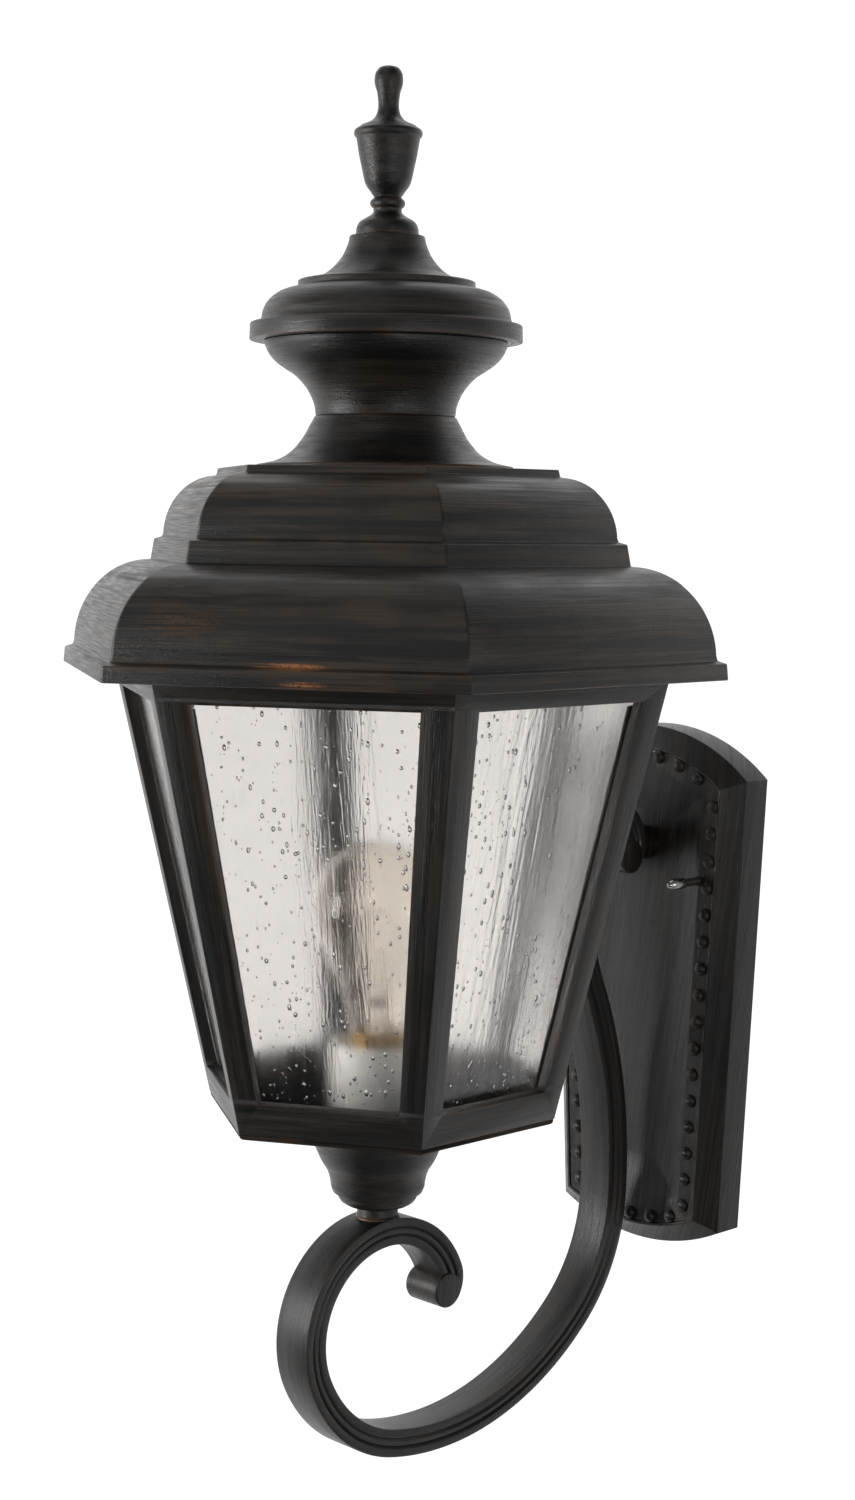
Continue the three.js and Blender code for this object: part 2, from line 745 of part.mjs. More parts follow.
// Short turned spacer whose foot is saddled to the arm's curved back.
function neck() {
  const blank = turnedRing([
    [NIPPLE_HOLE_R, NECK_FOOT_Z],
    [NIPPLE_HOLE_R, NECK_TOP_Z],
    [9.2, NECK_TOP_Z],
    [9.2, -243.4],
    [10, -244],
    [10, NECK_FOOT_Z],
  ], 24);
  return cut(blank, armBar(FACE_FIT));
}

function nipple() {
  return tube(NIPPLE_R, NIPPLE_BORE_R, NIPPLE_FOOT_Z, NIPPLE_TOP_Z, 16);
}

// ---------------------------------------------------------------- scroll arm
// Stations along the centreline, each a position in the plane of the scroll and a heading.
function armStations() {
  let { y, z } = ARM_START;
  let heading = radians(ARM_START.heading);
  const stations = [{ y, z, heading }];
  for (const [radius, turn] of ARM_ARCS) {
    const fineDeg = THREE.MathUtils.radToDeg(2 * Math.acos(1 - ARM_SAGITTA / radius));
    const steps = Math.ceil(Math.abs(turn) / Math.min(ARM_STEP_DEG, fineDeg));
    const stepTurn = radians(turn) / steps;
    const chord = 2 * radius * Math.sin(Math.abs(stepTurn) / 2);
    for (let k = 0; k < steps; k++) {
      y += chord * Math.cos(heading + stepTurn / 2);
      z += chord * Math.sin(heading + stepTurn / 2);
      heading += stepTurn;
      stations.push({ y, z, heading });
    }
  }
  return stations;
}

// Half of the bar's section as [half width, offset to the outer side]: two grooves leave three reeds.
const ARM_SIDE = [
  [ARM_HALF_WIDTH - 0.6, ARM_HALF_THICK],
  [ARM_HALF_WIDTH, ARM_HALF_THICK - 0.6],
  [ARM_HALF_WIDTH, 2.5],
  [ARM_HALF_WIDTH - 1.2, 1.8],
  [ARM_HALF_WIDTH - 0.5, 1],
  [ARM_HALF_WIDTH - 0.5, -0.9],
  [ARM_HALF_WIDTH - 1.6, -1.7],
  [ARM_HALF_WIDTH - 0.9, -2.5],
  [ARM_HALF_WIDTH - 0.9, -ARM_HALF_THICK],
];

function stationPoint({ y, z, heading }, x, offset) {
  return [x, y + offset * Math.sin(heading), z - offset * Math.cos(heading)];
}

// The reeded bar without its eyes, swollen all round by a margin.
function armBar(margin) {
  const swell = ([x, n]) => [x + margin, n + margin * Math.sign(n)];
  const half = ARM_SIDE.map(swell);
  const section = [...half, ...half.slice().reverse().map(([x, n]) => [-x, n])];
  const rings = armStations().map((s) => section.map(([x, n]) => stationPoint(s, x, n)));
  const flat = section.map(([x, n]) => new THREE.Vector2(x, n));
  return loft(rings, flat, flat);
}

function scrollArm() {
  const stations = armStations();
  const eyes = [stations[0], stations.at(-1)].map((station, end) => {
    const [, y, z] = stationPoint(station, 0, end === 0 ? -EYE_INSET : EYE_INSET);
    const eye = new THREE.CylinderGeometry(EYE_R, EYE_R, 2 * ARM_HALF_WIDTH, 20);
    return eye.rotateZ(Math.PI / 2).translate(0, y, z);
  });
  const nippleHole = cylinder(NIPPLE_HOLE_R, NIPPLE_FOOT_Z - 0.5, NECK_TOP_Z, 16);
  const boltZ = ARM_BOLT_Z - EAVE_Z;
  const boltHole = cylinderY(ARM_BOLT_R + CLEAR, ARM_BOLT_TIP_Y - 1 - AXIS_Y, -AXIS_Y, 0, boltZ, 12);
  return cut(join(armBar(0), ...eyes), nippleHole, boltHole);
}

// ---------------------------------------------------------------- wall plate
// Centre height and radius of the arc through both corners and the apex above or below them.
function arcThrough(half, cornerZ, apexZ) {
  const rise = Math.abs(apexZ - cornerZ);
  const radius = (half * half + rise * rise) / (2 * rise);
  return { radius, centreZ: apexZ - Math.sign(apexZ - cornerZ) * radius };
}

const CROWN = arcThrough(PLATE.topHalf, PLATE.topCornerZ, PLATE.crownZ);
const KEEL = arcThrough(PLATE.footHalf, PLATE.footCornerZ, PLATE.keelZ);
const SIDE_HEIGHT = PLATE.topCornerZ - PLATE.footCornerZ;
const SIDE_TAPER = (PLATE.topHalf - PLATE.footHalf) / SIDE_HEIGHT;

// Half width of the plate at a height, once its outline is moved inwards.
function plateHalf(z, inset) {
  return PLATE.footHalf + (z - PLATE.footCornerZ) * SIDE_TAPER - inset * Math.hypot(1, SIDE_TAPER);
}

// Height where the inset side meets the inset arc, found by bisection.
function cornerHeight(bend, inset, towards) {
  let inside = (PLATE.topCornerZ + PLATE.footCornerZ) / 2;
  let outside = bend.centreZ + towards * bend.radius;
  for (let k = 0; k < 40; k++) {
    const z = (inside + outside) / 2;
    const reach = Math.hypot(plateHalf(z, inset), z - bend.centreZ);
    const beyond = (z - bend.centreZ) * towards > 0 && reach > bend.radius - inset;
    if (beyond) outside = z;
    else inside = z;
  }
  return inside;
}

// The plate's outline moved inwards, as one ring of points at a depth from the wall.
function plateRing(inset, depth) {
  const ring = [];
  for (const [bend, towards, steps] of [[CROWN, 1, 14], [KEEL, -1, 10]]) {
    const z = cornerHeight(bend, inset, towards);
    const spread = Math.atan2(plateHalf(z, inset), (z - bend.centreZ) * towards);
    for (let k = 0; k <= steps; k++) {
      const angle = spread * (1 - (2 * k) / steps);
      const r = bend.radius - inset;
      ring.push([towards * r * Math.sin(angle), -depth, bend.centreZ + towards * r * Math.cos(angle)]);
    }
  }
  return ring;
}

function beadPlaces() {
  const places = [];
  for (const side of [-1, 1]) {
    for (let k = 0; k < BEADS_PER_SIDE; k++) {
      const z = BEAD_FIRST_Z - k * BEAD_PITCH;
      places.push([side * plateHalf(z, BEAD_INSET + k * BEAD_LEAN), z]);
    }
  }
  for (const [bend, towards, count] of [[CROWN, 1, BEADS_ON_CROWN], [KEEL, -1, BEADS_ON_KEEL]]) {
    const r = bend.radius - BEAD_INSET;
    for (let k = 0; k < count; k++) {
      const angle = ((k - (count - 1) / 2) * BEAD_PITCH) / r;
      places.push([r * Math.sin(angle), bend.centreZ + towards * r * Math.cos(angle)]);
    }
  }
  return places;
}

// Domed bead that stands out towards -Y and is rooted a little below its bed.
function bead(bedY) {
  const dome = [[0, -1], [BEAD_R, -1], [BEAD_R * 0.98, 0.7], [BEAD_R * 0.64, 2.8], [0, 3.7]];
  return turned(dome, 6).rotateX(Math.PI / 2).translate(0, bedY, 0);
}

// Hollow-backed plate: bevelled rim, a fine ridge, a bed of beads and a dished middle.
function wallPlate() {
  const { rimDepth, faceDepth, bevel } = PLATE;
  const bedDepth = faceDepth - RIDGE_HEIGHT;
  const dish = [0.12, 0.35, 0.62, 1].map((share) =>
    plateRing(BED_INSET + DISH_RUN * share, bedDepth - DISH_DEPTH * Math.sin((share * Math.PI) / 2)),
  );
  const rings = [
    plateRing(20, CAVITY_DEPTH),
    plateRing(RIM_WALL + 1, CAVITY_DEPTH),
    plateRing(RIM_WALL, 0),
    plateRing(0, 0),
    plateRing(0, rimDepth),
    plateRing(bevel * 0.5, rimDepth + 3),
    plateRing(bevel, faceDepth),
    plateRing(bevel + 1, faceDepth),
    plateRing(bevel + 1.5, bedDepth),
    plateRing(BED_INSET, bedDepth),
    ...dish,
  ];
  const flat = (ring) => ring.map(([x, , z]) => new THREE.Vector2(x, z));
  const shell = loft(rings, flat(rings[0]), flat(rings.at(-1)));
  const beads = beadPlaces().map(([x, z]) => bead(-bedDepth).translate(x, 0, z));
  const pad = cylinderY(PAD_R, PAD_FACE_Y, -CAVITY_DEPTH - 1, 0, ARM_BOLT_Z, 20);
  const armBack = armBar(FACE_FIT).translate(0, AXIS_Y, EAVE_Z);
  const studBores = [-STUD_X, STUD_X].map((x) => cylinderY(STUD_R + CLEAR, STUD_TIP_Y, 2, x, 0, 12));
  const armBore = cylinderY(ARM_BOLT_R + CLEAR, ARM_BOLT_TIP_Y, 2, 0, ARM_BOLT_Z, 12);
  return cut(join(shell, pad, ...beads), armBack, ...studBores, armBore);
}

// ---------------------------------------------------------------- fasteners on the wall
function mountingStrap() {
  const { half, height, thick, slotX, slotHalf, slotHeight, groundX } = STRAP;
  const bar = box([-half, half], [-thick, 0], [-height / 2, height / 2]);
  const through = [-thick - 1, 1];
  const studHoles = [-STUD_X, STUD_X].map((x) => cylinderY(STUD_R + NUT_CLEAR, ...through, x, 0, 12));
  const slots = [-slotX, slotX].map((x) =>
    box([x - slotHalf, x + slotHalf], through, [-slotHeight / 2, slotHeight / 2]),
  );
  const groundHole = cylinderY(GROUND_SCREW_R + CLEAR, ...through, groundX, 0, 12);
  return cut(bar, ...studHoles, ...slots, groundHole);
}

function stud(x) {
  return cylinderY(STUD_R, STUD_TIP_Y, -FIT, x, 0, 12);
}

function studNut(x) {
  const nut = hexNut(NUTS.stud, STUD_R, STRAP.thick + FIT);
  return nut.rotateX(Math.PI / 2).translate(x, 0, 0);
}

// Long ball-ended nut, open towards the wall.
function ballNut(x) {
  const bore = BALL_NUT_Y - STUD_TIP_Y + 0.6;
  const outline = [
    [0, bore],
    [STUD_R + CLEAR, bore],
    [STUD_R + CLEAR, 0],
    [2.9, 0],
    [2.7, 4.2],
    ...arc(0, BALL_NUT_LENGTH - 3, 2.9, 3, -20, 90, 4),
  ];
  return turned(outline, 12).rotateX(Math.PI / 2).translate(x, BALL_NUT_Y, 0);
}

function groundScrew() {
  const seat = STRAP.thick + FIT;
  const screw = turned([
    [0, 0.1],
    [GROUND_SCREW_R, 0.1],
    [GROUND_SCREW_R, seat],
    [4.2, seat],
    [4.2, seat + 2.3],
    [3.4, seat + 2.9],
    [0, seat + 2.9],
  ], 12);
  return screw.rotateX(Math.PI / 2).translate(STRAP.groundX, 0, 0);
}

// Hex bolt from the plate's hollow back through its pad into the arm's upper curl.
function armBolt() {
  const seatY = -CAVITY_DEPTH + ARM_WASHER + 2 * FIT;
  const head = cylinderY(hexCorner(ARM_BOLT_FLATS), seatY, seatY + ARM_BOLT_HEAD, 0, ARM_BOLT_Z, 6);
  const shank = cylinderY(ARM_BOLT_R, ARM_BOLT_TIP_Y, seatY + 1, 0, ARM_BOLT_Z, 12);
  return join(head, shank);
}

function armWasher() {
  const ring = tube(ARM_WASHER_R, ARM_BOLT_R + NUT_CLEAR, 0, ARM_WASHER, 16);
  return ring.rotateX(Math.PI / 2).translate(0, -CAVITY_DEPTH + FIT + ARM_WASHER, ARM_BOLT_Z);
}

// ---------------------------------------------------------------- assembly
add(part, "wall_plate", wallPlate(), BRONZE);
add(part, "mounting_strap", mountingStrap(), ZINC);
for (const [side, x] of [["left", -STUD_X], ["right", STUD_X]]) {
  add(part, `stud_${side}`, stud(x), ZINC);
  add(part, `stud_nut_${side}`, studNut(x), ZINC);
  add(part, `ball_nut_${side}`, ballNut(x), NICKEL);
}
add(part, "ground_screw", groundScrew(), GREEN_ZINC);
add(part, "arm_bolt", armBolt(), ZINC);
add(part, "arm_washer", armWasher(), ZINC);

add(lantern, "scroll_arm", scrollArm(), BRONZE);
add(lantern, "neck", neck(), BRONZE);
add(lantern, "nipple", nipple(), ZINC);
add(lantern, "socket_cup", socketCup(), BRONZE);
add(lantern, "stem_nut", hexNut(NUTS.stem, NIPPLE_R, CUP_WEB_TOP_Z + FIT), ZINC);
add(lantern, "cage_floor", cageFloor(), BRONZE);
floorScrewPlaces().forEach((place, k) => {
  add(lantern, `floor_screw_${k + 1}`, floorScrew(place), BLACK_STEEL);
});
add(lantern, "cage_frame", cageFrame(), BRONZE);
FACES.forEach((deg, k) => {
  add(lantern, `pane_${k + 1}`, pane(deg), SEEDED_GLASS);
});
POSTS.forEach((deg, k) => {
  add(lantern, `corner_strip_${k + 1}`, cornerStrip(deg), BLACK_STEEL);
});
add(lantern, "socket_body", socketBody(), PORCELAIN);
add(lantern, "socket_shell", socketShell(), BRASS);
add(lantern, "socket_contact", socketContact(), BRASS);
add(lantern, "bulb_cap", bulbCap(), BRASS);
add(lantern, "bulb_glass", bulbGlass(), BULB_GLASS);
add(lantern, "bulb_stem", bulbStem(), STEM_GLASS);
add(lantern, "bulb_filament", bulbFilament(), TUNGSTEN);

add(lantern, "cross_bar", crossBar(), BLACK_STEEL);
BAR_SCREWS.forEach((y, k) => {
  add(lantern, `bar_screw_${k + 1}`, barScrew(y), ZINC);
});
add(lantern, "tie_rod", cylinder(ROD_R, ROD_FOOT_Z, ROD_TOP_Z, 16), ZINC);
add(lantern, "rod_nut_lower", hexNut(NUTS.rod, ROD_R, BAR_LOW_Z - FIT - NUTS.rod.height), ZINC);
add(lantern, "rod_nut_upper", hexNut(NUTS.rod, ROD_R, BAR_TOP_Z + FIT), ZINC);
add(lantern, "roof", roof(), BRONZE);
add(lantern, "collar", collar(), BRONZE);
add(lantern, "vent_bowl", ventBowl(), BRONZE);
add(lantern, "upper_cap", upperCap(), BRONZE);
add(lantern, "finial", finial(), BRONZE);

export default part;
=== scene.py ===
"""Looks of the outdoor wall lantern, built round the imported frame: castings, seeded glass and finishes.

Shapes are drawn in millimetres, in the lantern's own coordinates (its axis, with Z = 0 at the underside of
the eave) or in the wall's (the middle of the strap's back), and are set down in metres in the frame.
"""

import json
import math
import random

import bmesh
import bpy
from mathutils import Matrix, Vector, noise
from mathutils.bvhtree import BVHTree


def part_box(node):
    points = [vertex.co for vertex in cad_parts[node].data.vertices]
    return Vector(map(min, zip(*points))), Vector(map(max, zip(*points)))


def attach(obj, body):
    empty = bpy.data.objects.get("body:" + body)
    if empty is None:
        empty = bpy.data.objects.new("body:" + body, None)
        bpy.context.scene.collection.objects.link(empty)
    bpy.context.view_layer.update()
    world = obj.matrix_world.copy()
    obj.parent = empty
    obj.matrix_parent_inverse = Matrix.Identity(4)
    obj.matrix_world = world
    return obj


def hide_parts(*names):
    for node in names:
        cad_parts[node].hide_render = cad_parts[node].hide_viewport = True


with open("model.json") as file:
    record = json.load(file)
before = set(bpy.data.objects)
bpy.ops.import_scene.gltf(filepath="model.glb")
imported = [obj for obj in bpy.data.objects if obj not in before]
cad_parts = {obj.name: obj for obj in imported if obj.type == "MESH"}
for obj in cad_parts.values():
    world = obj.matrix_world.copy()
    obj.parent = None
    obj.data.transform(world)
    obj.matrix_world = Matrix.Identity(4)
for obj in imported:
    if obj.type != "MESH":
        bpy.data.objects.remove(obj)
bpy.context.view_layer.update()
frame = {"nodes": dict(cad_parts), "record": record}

# -------- sizes, in millimetres
MM = 0.001
FIT = 0.1
CAGE_TOP_Z, CAGE_TOP_R = -1.2, 126.96
CAGE_FOOT_Z, CAGE_FOOT_R = -193.8, 80.3
OPENING_HALF_TOP, OPENING_HALF_FOOT = 48.8, 31.2
OPENING_TOP_V, OPENING_FOOT_V = -8.24, -182.94
FACES = [30, 90, 150, 210, 270, 330]
PANE_THICK, PANE_LAP, PANE_TOP_LAP, PANE_DEPTH = 3, 4, 2, 5.3
SEEDS_PER_PANE = 520
EAVE_R = 152.4
CASTING_WALL = 3
HUB_R, HUB_HEIGHT = 12, 8
SEAT_DIRECTIONS, SEAT_HALF = (30, 150, 270), 2
ROOF_TOP_Z, COLLAR_TOP_Z, CAP_RIM_Z, FINIAL_BASE_Z = 87.8, 110, 142.4, 187.5
ROD_R, ROD_BORE_R = 3, 3.7
ROD_FOOT_Z, ROD_TOP_Z = -12, 201
FLOOR_THICK, FLOOR_SCREW_RING = 2.5, 60.5
BAR_SCREW_Y = 110
CUP_TOP_Z = CAGE_FOOT_Z - 2 * FIT - FLOOR_THICK
CUP_WEB_TOP_Z = -236.2
NECK_TOP_Z, NECK_FOOT_Z = -239.1, -247.5
NIPPLE_HOLE_R, NIPPLE_FOOT_Z = 5.2, -254
SOCKET_R, SOCKET_TOP_Z, SOCKET_FLOOR_Z, SOCKET_BORE_R = 21.5, -164.5, -188.6, 5.4
BULB_R, BULB_WALL, BULB_CENTRE_Z = 30, 0.8, -104.5
BULB_NECK_Z, BULB_TIP_Z, BULB_CAP_R = -159.5, -185.5, 13.4
ARM_HALF_WIDTH, ARM_HALF_THICK = 10.2, 6.25
EYE_R, EYE_INSET = 8, 1.75
ARM_START = (36.9, -285.2, 53.4)  # y, z, heading in degrees
ARM_ARCS = [  # centreline as radius and degrees turned, from the lower eye up
    (10, 60), (41.7, 60.3), (43.9, 120.3), (63.3, 52.7), (134.9, 55.8),
    (80.3, 43.5), (223.6, 27.6), (124.1, -32.8), (19, -159.8), (10, -60),
]
PLATE_TOP_HALF, PLATE_FOOT_HALF = 61.6, 50
PLATE_TOP_CORNER_Z, PLATE_FOOT_CORNER_Z = 49.3, -172.2
PLATE_CROWN_Z, PLATE_KEEL_Z = 72.5, -184.5
RIM_DEPTH, FACE_DEPTH, BEVEL, BED_INSET = 15.7, 23.7, 9.1, 20.5
BED_DEPTH = FACE_DEPTH - 1
DISH_RUN, DISH_DEPTH, CAVITY_DEPTH = 24, 6, 12
BEAD_R, BEAD_HEIGHT, BEAD_INSET, BEAD_PITCH, BEAD_LEAN = 3.3, 2.7, 13.6, 13.1, 0.23
BEADS_PER_SIDE, BEADS_ON_CROWN, BEADS_ON_KEEL, BEAD_FIRST_Z = 16, 7, 5, 36.3
PAD_R, PAD_FACE_DEPTH, ARM_BOLT_Z, ARM_BOLT_HOLE_R = 7.5, 29, 14.4, 3.4
STUD_X, STUD_R, STUD_HOLE_R, STUD_TIP_DEPTH = 38.7, 2, 2.4, 41.5
BALL_NUT_DEPTH, BALL_NUT_LENGTH = 33.5, 11

# -------- where things are, in metres
WALL = Vector((0, 0, 0))
rod_low, rod_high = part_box("tie_rod")
AXIS = Vector((0, (rod_low.y + rod_high.y) / 2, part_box("cage_frame")[1].z - CAGE_TOP_Z * MM))


# -------- camera
def make_camera():
    """The photograph's view: 46 degrees round from the front, a little above, with a slight roll."""
    azimuth, elevation, roll = (math.radians(a) for a in (45.97, 5.35, 0.68))
    back = Vector((
        math.sin(azimuth) * math.cos(elevation),
        -math.cos(azimuth) * math.cos(elevation),
        math.sin(elevation),
    ))
    level = Vector((math.cos(azimuth), math.sin(azimuth), 0))
    upright = back.cross(level)
    right = level * math.cos(roll) + upright * math.sin(roll)
    up = upright * math.cos(roll) - level * math.sin(roll)
    data = bpy.data.cameras.new("view")
    data.sensor_width = 36
    data.lens = 57.94
    camera = bpy.data.objects.new("view", data)
    turn = Matrix((right, up, back)).transposed().to_4x4()
    camera.matrix_world = Matrix.Translation((0.7737, -0.9147, 0.1692)) @ turn
    bpy.context.scene.collection.objects.link(camera)
    bpy.context.scene.camera = camera


# -------- outlines
def arc(centre_r, centre_z, radius_r, radius_z, start, end, steps):
    """Points on an arc, angles in degrees from +radius towards +height."""
    angles = [math.radians(start + (end - start) * k / steps) for k in range(steps + 1)]
    return [(centre_r + radius_r * math.cos(a), centre_z + radius_z * math.sin(a)) for a in angles]


def curve(points, steps=5):
    """A smooth curve through the given points."""
    given = [Vector(p) for p in points]
    ends = [given[0] * 2 - given[1]] + given + [given[-1] * 2 - given[-2]]
    smooth = []
    for a, b, c, d in zip(ends, ends[1:], ends[2:], ends[3:]):
        for k in range(steps):
            t = k / steps
            bend = 2 * a - 5 * b + 4 * c - d
            lift = 3 * b - a - 3 * c + d
            smooth.append((2 * b + (c - a) * t + bend * t * t + lift * t**3) / 2)
    return [tuple(p) for p in smooth] + [tuple(given[-1])]


def rounded(outline, radius, closed=False, steps=3, least=20):
    """Rounds each corner that turns by more than `least` degrees."""
    points = [Vector(p) for p in dict.fromkeys(tuple(p) for p in outline)]
    result = []
    for k, p in enumerate(points):
        if not closed and k in (0, len(points) - 1):
            result.append(p)
            continue
        before = points[k - 1] - p
        after = points[(k + 1) % len(points)] - p
        turn = before.angle(-after)
        if math.degrees(turn) < least:
            result.append(p)
            continue
        reach = min(radius * math.tan(turn / 2), before.length * 0.45, after.length * 0.45)
        start = p + before.normalized() * reach
        end = p + after.normalized() * reach
        for s in range(steps + 1):
            t = s / steps
            result.append(start * (1 - t) ** 2 + p * 2 * t * (1 - t) + end * t * t)
    return [tuple(p) for p in result]


# -------- meshes
def lathe(outline, sides=96, closed=False, first=90):
    """Vertices and faces of an outline of (radius, height) turned about Z."""
    verts, rings = [], []
    for r, z in outline:
        if r < 1e-6:
            rings.append([len(verts)])
            verts.append((0, 0, z))
            continue
        rings.append(list(range(len(verts), len(verts) + sides)))
        for k in range(sides):
            angle = math.radians(first + 360 * k / sides)
            verts.append((r * math.cos(angle), r * math.sin(angle), z))
    faces = []
    for low, high in zip(rings, rings[1:] + (rings[:1] if closed else [])):
        for k in range(sides):
            corners = [low[k % len(low)], low[(k + 1) % len(low)]]
            corners += [high[(k + 1) % len(high)], high[k % len(high)]]
            face = list(dict.fromkeys(corners))
            if len(face) > 2:
                faces.append(face)
    return verts, faces


def drill(radius, low, high, sides=32):
    """A plain cylinder along Z, to cut a hole with."""
    return lathe([(0, low), (radius, low), (radius, high), (0, high)], sides)


def skin(rings):
    """Vertices and faces of a stack of equal rings of points, closed at both ends."""
    count = len(rings[0])
    faces = []
    for row in range(len(rings) - 1):
        for k in range(count):
            a, b = row * count + k, row * count + (k + 1) % count
            faces.append([a, b, b + count, a + count])
    last = (len(rings) - 1) * count
    faces.append(list(range(count)))
    faces.append(list(range(last, last + count)))
    return [p for ring in rings for p in ring], faces


def along_minus_y(shape, x=0, depth=0, z=0):
    """Lays a shape drawn along +Z so that it points out of the wall, starting at a depth in front of it."""
    verts, faces = shape
    return [(x + p[0], -depth - p[2], z + p[1]) for p in verts], faces


def box_shape(x, y, z):
    verts = [(a, b, c) for a in x for b in y for c in z]
    faces = [[0, 1, 3, 2], [4, 6, 7, 5], [0, 4, 5, 1], [2, 3, 7, 6], [0, 2, 6, 4], [1, 5, 7, 3]]
    return verts, faces


def solid(name, shape, origin=AXIS, outward=True):
    """A Blender object from vertices in millimetres, set down at an origin in the frame."""
    verts, faces = shape
    mesh = bpy.data.meshes.new(name)
    mesh.from_pydata([origin + Vector(p) * MM for p in verts], [], faces)
    if outward:
        bm = bmesh.new()
        bm.from_mesh(mesh)
        bmesh.ops.recalc_face_normals(bm, faces=bm.faces)
        bm.to_mesh(mesh)
        bm.free()
    made = bpy.data.objects.new(name, mesh)
    bpy.context.scene.collection.objects.link(made)
    return made


def with_modifier(made, kind, **settings):
    """Applies one modifier to a piece's mesh."""
    modifier = made.modifiers.new(kind.lower(), kind)
    for key, value in settings.items():
        setattr(modifier, key, value)
    bpy.context.view_layer.update()
    graph = bpy.context.evaluated_depsgraph_get()
    mesh = bpy.data.meshes.new_from_object(made.evaluated_get(graph), depsgraph=graph)
    made.modifiers.clear()
    made.data = mesh
    return made


def combine(made, others, operation):
    """Joins other solids to a piece, or cuts them out of it."""
    for other in others:
        with_modifier(made, "BOOLEAN", operation=operation, solver="EXACT", object=other)
        bpy.data.objects.remove(other)
    return made


def bevelled(made, width, angle=30, segments=2):
    """Rounds a piece's edges by a width in millimetres."""
    return with_modifier(
        made, "BEVEL", width=width * MM, segments=segments, limit_method="ANGLE",
        angle_limit=math.radians(angle), miter_outer="MITER_ARC", harden_normals=False,
    )


def from_cad(name, node, width, material):
    """Stands in for a CAD node with a copy of it: whole faces in place of triangles, and softened edges."""
    mesh = frame["nodes"][node].data.copy()
    bm = bmesh.new()
    bm.from_mesh(mesh)
    bmesh.ops.remove_doubles(bm, verts=bm.verts, dist=1e-6)
    bmesh.ops.dissolve_limit(
        bm, angle_limit=math.radians(0.6), verts=bm.verts, edges=bm.edges, delimit=set()
    )
    bm.to_mesh(mesh)
    bm.free()
    mesh.materials.clear()
    made = bpy.data.objects.new(name, mesh)
    bpy.context.scene.collection.objects.link(made)
    settle(bevelled(made, width) if width else made, material, node)


BODY_OF = {n: b for b, ns in frame["record"]["behaviour"]["bodies"].items() for n in ns}


def settle(made, material, *nodes, sharp=32):
    """Gives a piece its material and smooth faces, and lets it stand for its CAD nodes."""
    mesh = made.data
    if material is not None:
        mesh.materials.clear()
        mesh.materials.append(material)
    mesh.shade_smooth()
    mesh.set_sharp_from_angle(angle=math.radians(sharp))
    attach(made, BODY_OF[nodes[0]])
    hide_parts(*nodes)
    return made


# -------- materials
BLACK_BRONZE = (0.0058, 0.0052, 0.0048, 1)
DARK_BRONZE = (0.0125, 0.0108, 0.0092, 1)
THIN_BROWN = (0.050, 0.034, 0.022, 1)
RUBBED_EDGE = (0.190, 0.100, 0.055, 1)
COPPER_PATCH = (0.48, 0.20, 0.075, 1)
BROWN_PATCH = (0.105, 0.058, 0.027, 1)


class Tree:
    """A material's or a world's nodes, made by calls that take numbers, nodes or sockets."""

    def __init__(self, name, kind="materials"):
        self.owner = getattr(bpy.data, kind).new(name)
        self.owner.use_nodes = True
        self.nodes = self.owner.node_tree.nodes
        self.links = self.owner.node_tree.links
        self.nodes.clear()
        self.here = self.add("TexCoord").outputs["Generated" if kind == "worlds" else "Object"]

    def put(self, socket, value):
        if isinstance(value, bpy.types.Node):
            value = value.outputs[0]
        if isinstance(value, bpy.types.NodeSocket):
            self.links.new(value, socket)
        else:
            socket.default_value = value

    def add(self, kind, inputs=None, **settings):
        node = self.nodes.new("ShaderNode" + kind)
        for key, value in settings.items():
            setattr(node, key, value)
        for key, value in (inputs or {}).items():
            self.put(node.inputs[key], value)
        return node

    def math(self, operation, a, b=0.0, clamp=False):
        return self.add("Math", {0: a, 1: b}, operation=operation, use_clamp=clamp)

    def times(self, a, b, clamp=False):
        return self.math("MULTIPLY", a, b, clamp)

    def plus(self, a, b):
        return self.math("ADD", a, b)

    def vector(self, operation, a, b):
        return self.add("VectorMath", {0: a, 1: b}, operation=operation)

    def noise(self, vector, factors, detail=3, distortion=0.0):
        inputs = {"Vector": self.vector("MULTIPLY", vector, factors), "Scale": 1, "Detail": detail}
        return self.add("TexNoise", {**inputs, "Roughness": 0.6, "Distortion": distortion})

    def span(self, value, low, high, to_low=0.0, to_high=1.0):
        inputs = {"Value": value, "From Min": low, "From Max": high, "To Min": to_low, "To Max": to_high}
        return self.add("MapRange", inputs, interpolation_type="SMOOTHSTEP")

    def grain(self, scale, detail=3):
        """Noise with the same scale every way, per metre."""
        return self.noise(self.here, (scale,) * 3, detail)

    def blend(self, share, a, b):
        return self.add("Mix", {0: share, 6: a, 7: b}, data_type="RGBA").outputs[2]

    def bump(self, height, distance, strength=1.0):
        return self.add("Bump", {"Height": height, "Distance": distance, "Strength": strength})

    def shader(self, inputs):
        return self.add("BsdfPrincipled", inputs)

    def join(self, x, y, z):
        return self.add("CombineXYZ", {0: x, 1: y, 2: z})

    def finish(self, surface):
        self.add("OutputMaterial", {"Surface": surface})
        return self.owner


def round_the_axis(tree):
    """Distance out from the lantern's axis, height in metres, and angle round the axis."""
    from_axis = tree.vector("SUBTRACT", tree.here, tuple(AXIS))
    x, y, z = tree.add("SeparateXYZ", {0: from_axis}).outputs
    reach = tree.math("SQRT", tree.plus(tree.math("POWER", x, 2), tree.math("POWER", y, 2)))
    return reach, z, tree.math("ARCTAN2", x, tree.times(y, -1))


